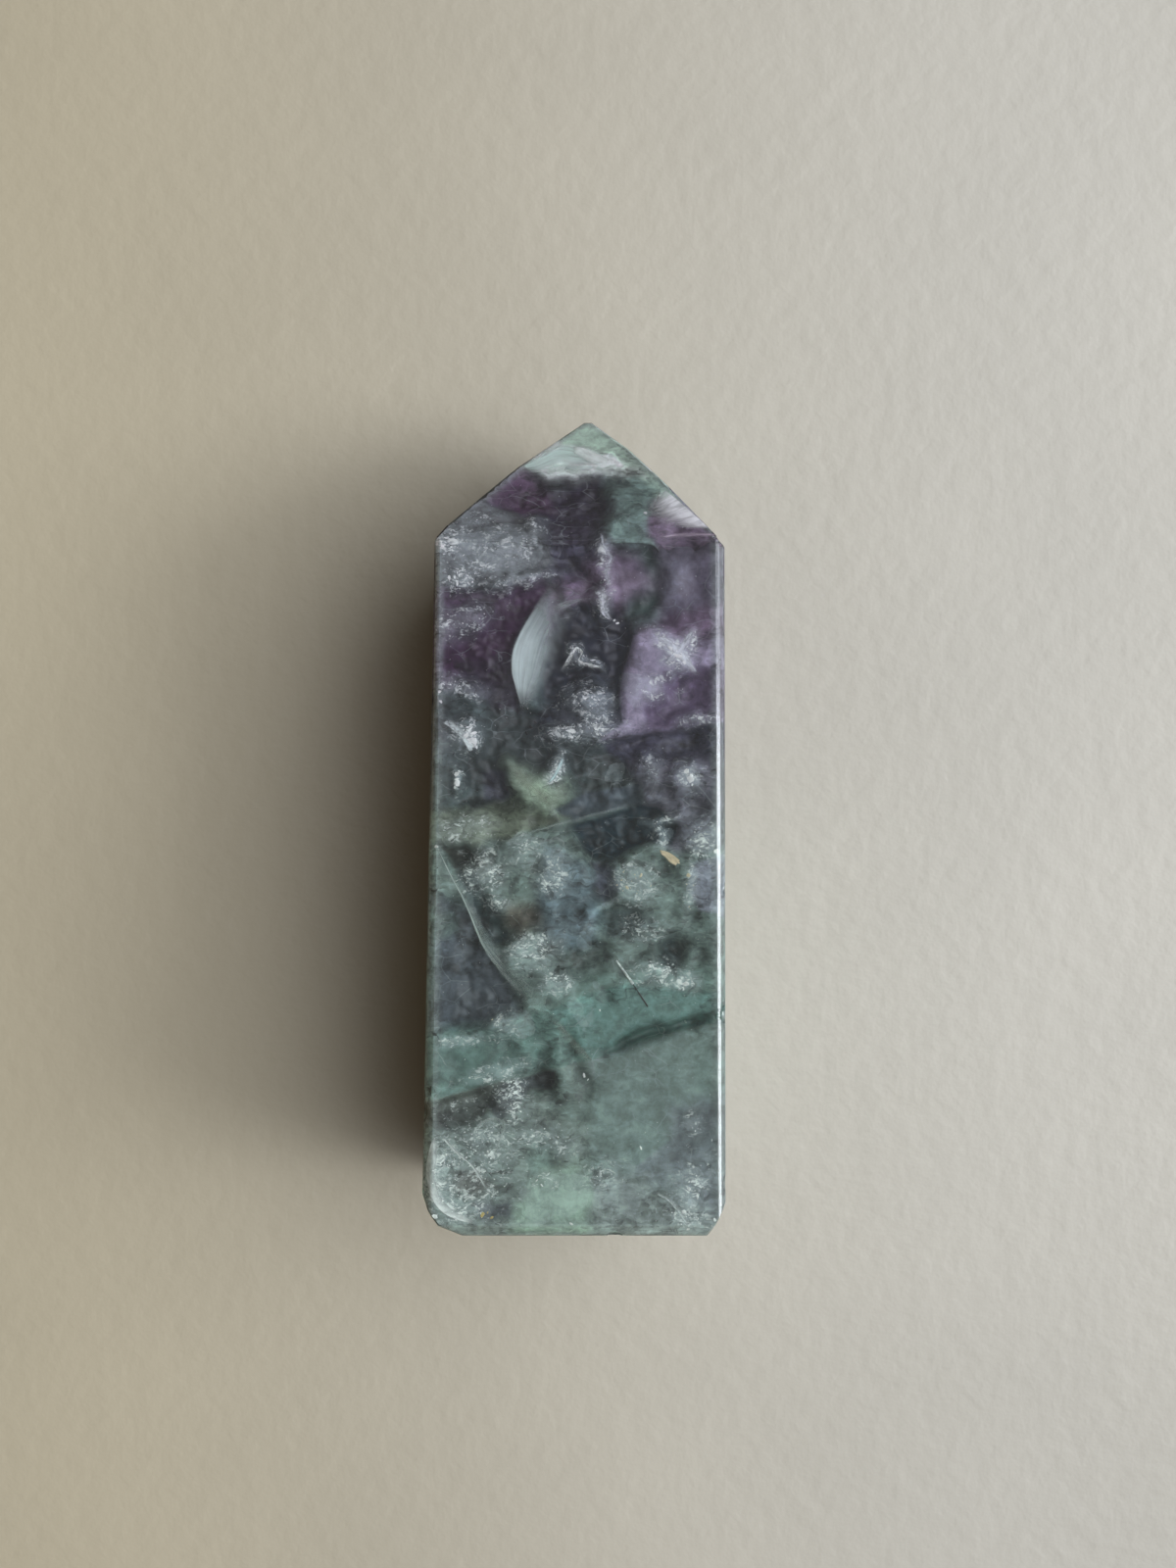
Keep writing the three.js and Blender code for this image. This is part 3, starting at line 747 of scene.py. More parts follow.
def layFloor():  # the painted surface that the stone lies on
    bm = bmesh.new()
    bmesh.ops.create_grid(bm, x_segments=1, y_segments=1, size=paint["size"])
    material, tree, shader = newMaterial("floorPaint", {"Roughness": paint["roughness"]})
    place = stonePlace(tree)
    shade = eased(tree, clouds(tree, place, paint["patches"], 3.0), *paint["shades"])
    # painted shade at the left and painted light at the right, across the floor
    across = put(tree, "SeparateXYZ", {0: place}).outputs[0]
    colour = mixed(tree, eased(tree, across, *paint["spread"]), srgb(*paint["left"]),
                   srgb(*paint["right"]))
    colour = mixed(tree, 1.0, colour, grey(tree, shade), "MULTIPLY")
    tree.links.new(colour, shader.inputs["Base Color"])
    dimples = clouds(tree, place, paint["stipple"], 3.0)
    bump = put(tree, "Bump", {"Height": dimples, "Strength": paint["dimples"],
                              "Distance": paint["dimpleDepth"]})
    tree.links.new(bump.outputs[0], shader.inputs["Normal"])
    newObject("floor", toMesh(bm, "floor", False), material)


# Below which distance points are one, which bend is still flat, and from which area on a
# face counts as one of the stone's own.
merging = {"near": 0.001, "flat": 1, "area": 4}
polish = {"width": 0.12, "segments": 2, "sharpest": 9, "shortest": 0.9, "crease": 26}


def mergedTower():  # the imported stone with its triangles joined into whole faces
    bm = bmesh.new()
    bm.from_mesh(tower.data)
    bmesh.ops.scale(bm, vec=(1 / mm,) * 3, verts=bm.verts)
    bmesh.ops.remove_doubles(bm, verts=bm.verts, dist=merging["near"])
    bmesh.ops.dissolve_limit(bm, angle_limit=math.radians(merging["flat"]), verts=bm.verts,
                             edges=bm.edges)
    return bm


def toMesh(bm, name, rounded=True):  # finishes a shape, from millimetres to metres
    bmesh.ops.scale(bm, vec=(mm,) * 3, verts=bm.verts)
    for face in bm.faces:
        face.smooth = rounded
    mesh = bpy.data.meshes.new(name)
    bm.to_mesh(mesh)
    bm.free()
    return mesh


def bevelledTower(look):  # the stone with its longer and sharper edges bevelled
    bm = mergedTower()
    edges = [e for e in bm.edges if e.calc_length() > look["shortest"]
             and e.calc_face_angle(0) > math.radians(look["sharpest"])]
    made = bmesh.ops.bevel(bm, geom=edges, offset=look["width"], segments=look["segments"],
                           affect="EDGES", profile=0.5, material=-1, clamp_overlap=True)
    return bm, made["faces"]


def makeStone():  # the clear polished surface
    bm, _ = bevelledTower(polish)
    bmesh.ops.triangulate(bm, faces=bm.faces)
    for e in bm.edges:
        e.smooth = e.calc_face_angle(0) < math.radians(polish["crease"])
    material, tree, shader = newMaterial("polishedFluorite", {
        "Roughness": glass["roughness"], "IOR": glass["ior"],
        "Transmission Weight": glass["clearness"]})
    place = stonePlace(tree)
    height = put(tree, "SeparateXYZ", {0: place}).outputs[1]
    wander = clouds(tree, place, glass["wanderScale"], 2.0)
    purple = eased(tree, calc(tree, "MULTIPLY_ADD", wander, glass["wander"], height), *glass["turns"])
    colour = mixed(tree, purple, srgb(*glass["green"]), srgb(*glass["violet"]))
    tree.links.new(colour, shader.inputs["Base Color"])
    absorb = put(tree, "VolumeAbsorption", {"Color": glass["tint"], "Density": glass["density"]})
    tree.links.new(absorb.outputs[0], tree.nodes["Material Output"].inputs["Volume"])
    made = newObject("polished_stone", toMesh(bm, "polished_stone"), material)
    made.modifiers.new("evenNormals", "WEIGHTED_NORMAL").keep_sharp = True
    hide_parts("fluorite_tower")
    return inStone(made)


def griddedTower(look):  # the stone as an even grid of faces, finest at the front
    bm = mergedTower()
    bmesh.ops.triangulate(bm, faces=bm.faces)
    made = bpy.data.objects.new("grid", toMesh(bm, "grid"))
    scene.collection.objects.link(made)
    modifier = made.modifiers.new("grid", "REMESH")
    modifier.mode = "SHARP"
    modifier.octree_depth = look["fineness"]
    modifier.scale = look["fill"]
    bpy.context.view_layer.update()
    even = made.evaluated_get(bpy.context.evaluated_depsgraph_get())
    bm = bmesh.new()
    bm.from_mesh(even.data)
    bpy.data.objects.remove(made)
    bmesh.ops.scale(bm, vec=(1 / mm,) * 3, verts=bm.verts)
    bm.normal_update()
    front = {e for f in bm.faces if f.normal.z > frontLean for e in f.edges}
    bmesh.ops.subdivide_edges(bm, edges=list(front), cuts=look["cuts"], use_grid_fill=True)
    bm.normal_update()
    return bm


def keepInside(bm, least):  # brings what comes too near the stone's surface under it
    whole = mergedTower()
    surface = bvhtree.BVHTree.FromBMesh(whole)
    whole.free()
    for v in bm.verts:
        place, out, _, _ = surface.find_nearest(v.co)
        if (v.co - place).dot(out) > -least:
            v.co = place - out * least


def sinkIn(bm, depths):  # carries every point down under the surface by its own depth
    for v, place in zip(bm.verts, [v.co - v.normal * d for v, d in zip(bm.verts, depths)]):
        v.co = place


def fractal(place, scale, octaves=4):  # rough noise about 0
    return noise.fractal(place * scale, 0.8, 2.1, octaves, noise_basis="PERLIN_ORIGINAL")


zonesBody = {
    "fineness": 7, "fill": 0.9, "cuts": 3, "least": 0.15, "skin": 0.3, "settle": 9, "uneven": 0.3,
    "pits": 0.8, "pitScale": 0.2, "pitOctaves": 5, "lumps": 0.3, "lumpScale": 0.6,
    "cracks": 0.3, "bloom": 0.24, "dust": (0.05, 0.6, 0.0, 0.5), "roughness": 0.5,
    "seep": (1.0, 1.0, 1.0), "seepReach": 3 * mm,
}


def settled(bm, values):  # evens values out between neighbouring points
    bm.verts.index_update()
    pairs = np.array([[v.index for v in e.verts] for e in bm.edges])
    for _ in range(zonesBody["settle"]):
        total = values.copy()
        np.add.at(total, pairs[:, 0], values[pairs[:, 1]])
        np.add.at(total, pairs[:, 1], values[pairs[:, 0]])
        values = total / (1 + np.bincount(pairs.ravel(), minlength=len(values)))
    return values


def zonesMaterial():  # paints the zones with their tones and marks, with painted light at the edges and painted shading on the splinters, and lets light seep
    material, tree, shader = newMaterial("cloudyZones", {
        "Roughness": zonesBody["roughness"], "Subsurface Radius": zonesBody["seep"],
        "Subsurface Scale": zonesBody["seepReach"]})
    painted = put(tree, "VertexColor", layer_name="zoneTintAndPaintedLight").outputs
    broken = put(tree, "Attribute", attribute_name="zoneBreaks").outputs
    dark, pale, still = put(tree, "SeparateXYZ", {0: broken["Vector"]}).outputs
    marks = put(tree, "Group", {
        "Place": stonePlace(tree), "Crust": painted["Alpha"], "Dark": dark, "Pale": pale,
        "Still": still}, node_tree=marksGroup).outputs
    colour = mixed(tree, 1.0, painted["Color"], marks["HazeAndPaintedShade"], "MULTIPLY")
    for name, share in (("Cracks", zonesBody["cracks"]), ("Bloom", zonesBody["bloom"]),
                        ("Dust", eased(tree, painted["Alpha"], *zonesBody["dust"]))):
        colour = mixed(tree, times(tree, marks[name], share), colour, srgb(*palette["pearl"]))
    colour = mixed(tree, marks["Lace"], colour, srgb(*palette["white"]))
    tree.links.new(colour, shader.inputs["Base Color"])
    tree.links.new(broken["Alpha"], shader.inputs["Subsurface Weight"])
    return material


def makeZonesBody():  # the cloudy inside, as one body close under the surface
    bm = griddedTower(zonesBody)
    colours, clear, crust, marked = zonesAt(np.array([v.co for v in bm.verts]))
    rough = [zonesBody["pits"] * abs(fractal(v.co, zonesBody["pitScale"], zonesBody["pitOctaves"]))
             + zonesBody["lumps"] * fractal(v.co, zonesBody["lumpScale"]) for v in bm.verts]
    share = 1 - zonesBody["uneven"] + zonesBody["uneven"] * np.array(rough)
    sinkIn(bm, zonesBody["least"] + settled(bm, clear) * share)
    keepInside(bm, zonesBody["least"])
    mesh = toMesh(bm, "cloudy_zones")
    for name, values in (("zoneTintAndPaintedLight", np.hstack([colours, crust[:, None]])), ("zoneBreaks", marked)):
        layer = mesh.color_attributes.new(name, "FLOAT_COLOR", "POINT")
        layer.data.foreach_set("color", values.ravel())
    inStone(newObject("cloudy_zones", mesh, zonesMaterial()))
    return bvhtree.BVHTree.FromPolygons([v.co / mm for v in mesh.vertices],
                                        [p.vertices for p in mesh.polygons])


def stonePlanes():  # the stone's faces, as a point and an outward direction each
    bm = mergedTower()
    planes = [(f.calc_center_median(), f.normal.copy()) for f in bm.faces
              if f.calc_area() > merging["area"]]
    bm.free()
    return planes


facePlanes = stonePlanes()


def trimToStone(bm, inset):  # cuts off what would come out of the stone
    for at, out in facePlanes:
        bmesh.ops.bisect_plane(bm, geom=bm.verts[:] + bm.edges[:] + bm.faces[:],
                               plane_co=at - out * inset, plane_no=out, clear_outer=True)


def depthUnder(place):  # how far a place lies under the nearest face
    return min((at - place).dot(out) for at, out in facePlanes)


def curveThrough(points, t):  # a smooth curve through a few points, t from 0 to 1
    last = len(points) - 1
    i = min(int(t * last), last - 1)
    f = t * last - i
    a, b, c, d = (points[max(0, min(last, i + k))] for k in (-1, 0, 1, 2))
    return 0.5 * (2 * b + (c - a) * f + (2 * a - 5 * b + 4 * c - d) * f ** 2
                  + (3 * b - a - 3 * c + d) * f ** 3)


# What a sheet of fibres has where it says nothing else: the depth of either edge, how
# its borders and ends fade, how far it covers and how solid it is between its fibres.
plainSheet = {"deep": (0.2, 0.3), "sharp": 0.2, "fade": 0.2, "cover": 1.0, "solid": 0.2,
              "ends": (0.2, 0.2), "bulge": 0.0}

# Sheets of fibres: the pixels of one edge and of the other, some with their own depths,
# and how the fibres run. The first edge is sharp, and the sheet fades towards the other.
feathers = {
    "feather_plume": {
        "near": [(562, 588, 0.9), (553, 606, 0.7), (540, 627, 0.5), (529, 646, 0.4),
            (522, 664, 0.4), (521, 684, 0.4), (525, 700, 0.5), (533, 728, 0.7)],
        "far": [(604, 590, 1.6), (600, 612, 1.6), (590, 634, 1.6), (581, 652, 1.6),
            (576, 672, 1.5), (568, 690, 1.3), (554, 706, 1.0), (538, 728, 0.8)],
        "fibres": (16, 1.6), "sharp": 0.06, "fade": 0.0, "solid": 0.72, "colour": (222, 240, 236),
        "ends": (0.62, 0.16), "bulge": 0.3,
    },
    "plume_wisp": {
        "near": [(562, 618), (576, 613), (590, 610), (603, 609)],
        "far": [(562, 628), (576, 624), (590, 618), (603, 612)],
        "deep": (0.5, 0.8), "fibres": (8, 2), "fade": 0.3, "cover": 0.6, "colour": (180, 188, 188),
        "ends": (0.3, 0.4), "bulge": 0.1,
    },
    "tip_veil": {
        "near": [(533, 475, 0.3), (545, 467, 0.3), (556, 458, 0.4), (568, 451, 0.4),
            (584, 452, 0.5), (600, 455, 0.5), (618, 461, 0.6), (648, 464, 0.6)],
        "far": [(540, 480, 0.5), (550, 487, 0.6), (562, 491, 0.8), (578, 492, 0.8),
            (596, 494, 0.9), (614, 494, 0.9), (634, 496, 0.9), (662, 498, 0.9)],
        "fibres": (14, 2.2), "fade": 0.1, "solid": 0.35, "colour": (226, 252, 242),
        "ends": (0.03, 0.5), "bulge": 0.2,
    },
    "tip_crest": {
        "near": [(545, 462, 0.2), (553, 454, 0.2), (563, 448, 0.2), (578, 449, 0.3)],
        "far": [(548, 472, 0.3), (558, 467, 0.3), (568, 462, 0.3), (580, 458, 0.3)],
        "fibres": (3, 3), "solid": 0.5, "colour": (240, 248, 244), "ends": (0.2, 0.35),
        "bulge": 0.1,
    },
    "tip_spark": {
        "near": [(584, 455), (596, 456), (608, 461), (626, 470)],
        "far": [(582, 464), (592, 469), (602, 474), (620, 478)],
        "fibres": (3, 3), "sharp": 0.15, "fade": 0.5, "solid": 0.7, "colour": (246, 255, 250),
        "ends": (0.25, 0.3), "bulge": 0.1,
    },
    "slope_fan": {
        "near": [(676, 497, 0.2), (688, 506, 0.2), (700, 516, 0.2), (712, 527, 0.2),
            (726, 540, 0.2)],
        "far": [(652, 519, 0.5), (655, 524, 0.5), (659, 530, 0.6), (670, 535, 0.6),
            (698, 540, 0.5)],
        "fibres": (1.5, 12), "sharp": 0.05, "fade": 0.1, "solid": 0.5, "colour": (252, 254, 254),
        "ends": (0.3, 0.12), "bulge": 0.2,
    },
    "x_veil": {
        "near": [(668, 646), (682, 650), (694, 658), (704, 670), (716, 690)],
        "far": [(666, 654), (678, 662), (686, 672), (696, 682), (710, 692)],
        "fibres": (3, 5), "sharp": 0.3, "fade": 0.3, "solid": 0.4, "colour": (236, 242, 246),
        "ends": (0.25, 0.25), "bulge": 0.1,
    },
    "x_veil_back": {
        "near": [(706, 640), (696, 652), (686, 664), (674, 680)],
        "far": [(713, 644), (706, 658), (696, 672), (680, 684)],
        "fibres": (3, 5), "sharp": 0.3, "fade": 0.3, "cover": 0.95, "solid": 0.35,
        "colour": (232, 238, 244), "ends": (0.25, 0.3), "bulge": 0.1,
    },
    "snake_chain": {
        "near": [(571, 686), (580, 670), (588, 660), (595, 665), (592, 673), (602, 677),
            (615, 680)],
        "far": [(576, 688), (584, 674), (589, 665), (591, 668), (589, 677), (601, 682),
            (614, 684)],
        "fibres": (2, 22), "sharp": 0.1, "solid": 0.15, "colour": (238, 246, 240),
        "ends": (0.2, 0.1),
    },
    "high_wisp": {
        "near": [(611, 543), (614, 556), (620, 570), (615, 584), (622, 602)],
        "far": [(617, 543), (620, 556), (628, 570), (623, 586), (627, 602)],
        "fibres": (5, 16), "sharp": 0.3, "cover": 0.8, "solid": 0.0, "colour": (214, 220, 226),
        "ends": (0.15, 0.2),
    },
    "low_wisp": {
        "near": [(606, 602), (611, 614), (612, 625), (622, 634)],
        "far": [(620, 598), (623, 612), (622, 622), (630, 636)],
        "fibres": (4, 8), "fade": 0.3, "cover": 0.9, "solid": 0.1, "colour": (220, 226, 230),
    },
    "left_claw": {
        "near": [(450, 737), (460, 744), (470, 754), (479, 768)],
        "far": [(459, 732), (470, 739), (482, 749), (489, 764)],
        "fibres": (3, 8), "sharp": 0.15, "colour": (226, 238, 236), "ends": (0.15, 0.1),
    },
    "cream_flake": {
        "near": [(672, 867), (681, 869), (688, 873), (694, 878)],
        "far": [(675, 872), (679, 876), (684, 881), (689, 884)],
        "deep": (0.2, 0.2), "fibres": (2, 3), "sharp": 0.05, "fade": 0.75, "solid": 0.7,
        "colour": (232, 214, 178), "ends": (0.12, 0.04),
    },
    # painted highlight: a pale pink streak along the ridge where the point meets the front face, made
    # as a sheet
    "ridge_highlight_streak": {
        "near": [(666, 548), (690, 544), (714, 543), (736, 544)],
        "far": [(666, 551), (690, 550), (714, 549), (736, 548)],
        "deep": (0.3, 0.4), "fibres": (3, 3), "sharp": 0.3, "fade": 0.3, "cover": 0.75,
        "solid": 0.5, "colour": (206, 190, 204), "ends": (0.3, 0.2),
    },
    "long_fissure": {
        "near": [(444, 862, 0.3), (459, 894, 0.3), (475, 925, 0.4), (492, 966, 0.5),
            (512, 994, 0.6), (536, 1022, 0.7), (566, 1056, 0.8)],
        "far": [(446, 863, 1.0), (464, 894, 1.4), (484, 925, 1.6), (506, 958, 1.8),
            (532, 986, 2.0), (560, 1016, 2.0), (588, 1050, 2.0)],
        "fibres": (9, 0.8), "sharp": 0.02, "fade": 0.25, "cover": 0.55, "solid": 0.25,
        "colour": (168, 182, 176), "ends": (0.04, 0.45), "bulge": 0.1,
    },
    "fissure_rim": {
        "near": [(444, 861, 0.2), (459, 893, 0.2), (475, 924, 0.3), (492, 965, 0.4),
            (510, 991, 0.5)],
        "far": [(445, 862, 0.2), (461, 893, 0.2), (477, 924, 0.3), (494, 964, 0.4),
            (511, 990, 0.5)],
        "fibres": (1, 5), "fade": 0.7, "cover": 0.8, "solid": 0.6, "colour": (190, 204, 200),
        "ends": (0.05, 0.4),
    },
    "corner_web": {
        "near": [(443, 1158, 0.3), (437, 1176, 0.2), (434, 1196, 0.2), (438, 1218, 0.2),
            (448, 1234, 0.2), (462, 1243, 0.2), (484, 1249, 0.3)],
        "far": [(450, 1166, 0.3), (450, 1182, 0.3), (448, 1198, 0.3), (452, 1214, 0.3),
            (462, 1228, 0.3), (472, 1236, 0.3), (486, 1243, 0.3)],
        "fibres": (2, 12), "sharp": 0.06, "fade": 0.1, "solid": 0.55, "colour": (244, 250, 248),
        "ends": (0.1, 0.1), "bulge": 0.1,
    },
    "web_thread": {
        "near": [(450, 1160, 0.2), (464, 1176, 0.2), (482, 1192, 0.2), (500, 1222, 0.3)],
        "far": [(454, 1160, 0.3), (470, 1176, 0.3), (488, 1194, 0.3), (503, 1222, 0.4)],
        "fibres": (2, 10), "sharp": 0.1, "solid": 0.5, "colour": (230, 238, 236),
        "ends": (0.1, 0.3),
    },
    "web_arc": {
        "near": [(484, 1156), (490, 1145), (503, 1140), (516, 1146), (510, 1168), (502, 1186)],
        "far": [(487, 1158), (493, 1149), (503, 1144), (511, 1149), (505, 1168), (498, 1184)],
        "fibres": (2, 8), "sharp": 0.15, "fade": 0.1, "cover": 0.75, "solid": 0.25,
        "colour": (196, 208, 204), "ends": (0.15, 0.25),
    },
    "right_thread": {
        "near": [(668, 1218), (682, 1226), (692, 1238), (702, 1252)],
        "far": [(671, 1215), (686, 1223), (697, 1235), (708, 1250)],
        "fibres": (2, 9), "sharp": 0.1, "fade": 0.1, "cover": 0.95, "colour": (230, 240, 240),
        "ends": (0.15, 0.2),
    },
    "swirl_strokes": {
        "near": [(514, 778), (522, 794), (534, 808), (550, 822), (568, 830)],
        "far": [(540, 776), (546, 788), (556, 796), (570, 804), (582, 816)],
        "deep": (0.4, 0.7), "fibres": (12, 1.2), "sharp": 0.35, "cover": 0.5, "solid": 0.0,
        "colour": (170, 182, 160), "ends": (0.3, 0.3), "bulge": 0.1,
    },
    "shard_strokes": {
        "near": [(574, 770), (570, 780), (563, 792), (556, 800)],
        "far": [(577, 771), (574, 782), (569, 792), (562, 803)],
        "fibres": (5, 2), "fade": 0.4, "colour": (206, 236, 236), "ends": (0.3, 0.3),
    },
    "lavender_border": {
        "near": [(520, 857), (550, 848), (582, 839), (616, 830), (652, 821)],
        "far": [(519, 854), (549, 845), (581, 836), (615, 827), (651, 819)],
        "deep": (0.3, 0.3), "fibres": (1, 4), "sharp": 0.15, "fade": 0.5, "cover": 0.4,
        "solid": 0.6, "colour": (150, 164, 160),
    },
    "fold_line": {
        "near": [(570, 1042), (582, 1056), (594, 1069), (606, 1083)],
        "far": [(560, 1038), (570, 1054), (582, 1070), (596, 1086)],
        "deep": (0.3, 0.6), "fibres": (7, 0.8), "sharp": 0.06, "fade": 0.3, "cover": 0.5,
        "solid": 0.3, "colour": (158, 176, 164), "ends": (0.2, 0.15),
    },
}


# How sheets and flakes keep over the zones and under the surface.
between = {"gap": 0.05, "skin": 0.07, "above": 20}


def liftOver(place, gap=between["gap"]):  # keeps a place between the cloudy zones and the surface
    hit = zonesTree.ray_cast(place + Vector((0, 0, between["above"])), Vector((0, 0, -1)))[0]
    top = min(at.z - ((place - at).to_2d().dot(out.to_2d()) + between["skin"]) / out.z
              for at, out in facePlanes if out.z > frontLean)
    low = place.z if hit is None else hit.z + gap
    return Vector((place.x, place.y, min(max(place.z, low), top)))


# What all sheets of fibres have in common.
fibres = {"noise": (1.0, 6.0, 0.66, 0.4), "strands": (0.32, 0.62), "torn": 0.16, "tornScale": 1.3,
          "roughness": 0.45, "grid": (16, 48), "ripple": 0.12, "rippleScale": 0.5, "inset": 0.06}


def featherMaterial(name, look):  # fibres that fade out at the sheet's borders
    material, tree, shader = newMaterial(name, {
        "Roughness": fibres["roughness"], "Base Color": srgb(*look["colour"])})
    flat = put(tree, "UVMap", uv_map="along").outputs[0]
    across, along = put(tree, "SeparateXYZ", {0: flat}).outputs[:2]
    lines = clouds(tree, slanted(tree, flat, (0, 0, 0), (*look["fibres"], 1)), *fibres["noise"])
    lines = eased(tree, lines, *fibres["strands"])
    torn = clouds(tree, stonePlace(tree), fibres["tornScale"])
    ragged = calc(tree, "MULTIPLY_ADD", torn, fibres["torn"],
                  calc(tree, "SUBTRACT", across, fibres["torn"] / 2))
    start, end = look["ends"]
    cover = calc(tree, "MULTIPLY_ADD", lines, 1 - look["solid"], look["solid"])
    for share in (eased(tree, across, 0.0, look["sharp"]), eased(tree, ragged, 1.0, look["fade"]),
                  eased(tree, along, 0.0, start), eased(tree, along, 1.0, 1 - end), look["cover"]):
        cover = times(tree, cover, share)
    tree.links.new(cover, shader.inputs["Alpha"])
    return material


def newSheet(bm, grid):  # a flat grid with its points and how far each is across and along
    across, along = grid
    made = bmesh.ops.create_grid(bm, x_segments=across, y_segments=along, size=0.5, calc_uvs=True)
    return [(v, v.co.x + 0.5, v.co.y + 0.5) for v in made["verts"]]


def makeFeather(name, look):  # a point without its own depth takes that of its edge
    bm = bmesh.new()
    bm.loops.layers.uv.new("along")
    near, far = ([photoPlace(*(*p, deep)[:3]) for p in look[edge]]
                 for edge, deep in zip(("near", "far"), look["deep"]))
    for v, u, t in newSheet(bm, fibres["grid"]):
        place = curveThrough(near, t).lerp(curveThrough(far, t), u)
        ripple = fibres["ripple"] * fractal(place, fibres["rippleScale"])
        place.z += look["bulge"] * math.sin(math.pi * u) + ripple
        v.co = liftOver(place)
    trimToStone(bm, fibres["inset"])
    return inStone(newObject(name, toMesh(bm, name), featherMaterial(name, look)))


sideVeils = {
    "seed": 8, "count": 90, "length": (6, 22), "width": (0.8, 3.6), "curl": 2.5, "rise": 0.07,
    "fibres": (7, 1.4), "sharp": 0.06, "fade": 0.15, "cover": 0.85, "solid": 0.3,
    "colour": (188, 200, 200), "ends": (0.3, 0.3), "grid": (6, 24), "upright": 1.5, "least": 0.4,
    "above": 3, "inset": 0.04,
}


def makeSideVeils():  # veils in the sides, the back and the ends, like those in the front
    bm = bmesh.new()
    bm.loops.layers.uv.new("along")
    for _, (dice, start) in zip(range(sideVeils["count"]), strewn(sideVeils["seed"])):
        _, out = min(facePlanes, key=lambda face: abs((face[0] - start).dot(face[1])))
        if depthUnder(start) < -elsewhere["outside"] or out.z > frontLean:
            continue
        along = Vector(dice.uniform(-1, 1) for _ in range(3)) + Vector((0, sideVeils["upright"], 0))
        side = out.cross(along).normalized()
        along = side.cross(out)
        length, width = dice.uniform(*sideVeils["length"]), dice.uniform(*sideVeils["width"])
        curl = dice.uniform(-1, 1) * sideVeils["curl"]
        for v, u, t in newSheet(bm, sideVeils["grid"]):
            swell = math.sin(math.pi * t)
            bend = (u - 0.5) * width * (sideVeils["least"] + swell) + curl * swell
            place = start + along * (t - 0.5) * length + side * bend
            hit = zonesTree.ray_cast(place + out * sideVeils["above"], -out)[0]
            v.co = (hit or place) + out * sideVeils["rise"]
    trimToStone(bm, sideVeils["inset"])
    material = featherMaterial("sideVeils", sideVeils)
    return inStone(newObject("side_veils", toMesh(bm, "side_veils"), material))


grains = {
    "seed": 5, "perSquareMm": 2.2, "size": (0.03, 0.12), "shrink": (0.5, 1), "spread": 0.6,
    "stray": 420, "straySize": (0.02, 0.05), "strayAcross": (440, 736), "strayAlong": (450, 1255),
    "singleDepth": 1.0, "singleGap": 0.08, "elsewhere": 500, "elsewhereDepth": (0.15, 0.6),
    "elsewhereLeast": 0.12, "deep": (0.15, 1.5), "shallowest": 0.05, "least": 0.03,
    "thick": 0.04, "taper": 0.7, "jag": 0.3, "lean": 0.4, "squash": (0.35, 0.9),
    "sides": (5, 6, 7), "batch": 150, "mottle": 2.0, "shades": (0.3, 0.7, 0.75, 1.1),
    "tint": {"white": (252, 255, 253), "cream": (228, 216, 180), "gold": (222, 200, 128),
             "amber": (196, 146, 86), "dark": (20, 20, 22)},
}

# Grains that stand out by themselves: their tint, and the pixel and size of each.
singleGrains = [
    ("gold", [(493, 1238, 0.26), (502, 1241, 0.22), (498, 1236, 0.13)]),
    ("white", [(700, 1003, 0.38), (697, 1009, 0.14), (663, 985, 0.2), (583, 1247, 0.2),
     (553, 1208, 0.2), (548, 1203, 0.15), (445, 864, 0.13), (654, 1170, 0.2), (612, 1030, 0.14),
     (630, 636, 0.2), (627, 633, 0.14), (448, 544, 0.38), (456, 548, 0.34), (452, 558, 0.2),
     (658, 523, 0.2), (680, 488, 0.12), (484, 748, 0.34), (478, 742, 0.2), (469, 787, 0.16),
     (466, 795, 0.22), (464, 803, 0.16), (703, 1212, 0.22), (711, 1219, 0.26), (698, 1235, 0.24),
     (702, 1253, 0.24), (729, 1243, 0.2), (726, 1162, 0.14), (705, 792, 0.22), (699, 788, 0.2),
     (706, 801, 0.16)]),
    ("dark", [(546, 737, 0.2), (541, 742, 0.18), (537, 748, 0.2), (543, 739, 0.08),
     (469, 803, 0.1), (457, 771, 0.1), (463, 769, 0.1), (452, 775, 0.08)]),
    ("white", [(596, 1097, 0.3), (600, 1101, 0.14)]),
    ("dark", [(447, 885, 0.1)]),
    ("amber", [(684, 873, 0.2), (679, 870, 0.14)]),
    ("cream", [(692, 880, 0.2)]),
    ("white", [(449, 706, 0.2), (450, 716, 0.22), (482, 757, 0.62), (476, 750, 0.44),
     (486, 762, 0.26), (704, 795, 0.5), (700, 787, 0.34), (446, 863, 0.2), (467, 799, 0.42),
     (466, 790, 0.32), (459, 590, 0.34), (467, 596, 0.3), (691, 669, 0.5), (684, 662, 0.3),
     (698, 676, 0.3), (730, 868, 0.34)]),
    ("cream", [(640, 905, 0.26), (654, 893, 0.26), (702, 893, 0.24)]),
    ("white", [(444, 1240, 0.3)]),
]


flakeRoughness = 0.3  # of the grains and the needle


def tintedMaterial(name, look):  # shows each face's own tint, a little uneven
    material, tree, shader = newMaterial(name, {"Roughness": flakeRoughness})
    tint = put(tree, "VertexColor", layer_name="grainTint").outputs["Color"]
    shade = eased(tree, clouds(tree, stonePlace(tree), look["mottle"]), *look["shades"])
    colour = mixed(tree, 1.0, tint, grey(tree, shade), "MULTIPLY")
    tree.links.new(colour, shader.inputs["Base Color"])
    return material


def tintFaces(verts, layer, tint):  # gives the faces round some points their colour
    for face in {f for v in verts for f in v.link_faces}:
        for loop in face.loops:
            loop[layer] = srgb(*tint)


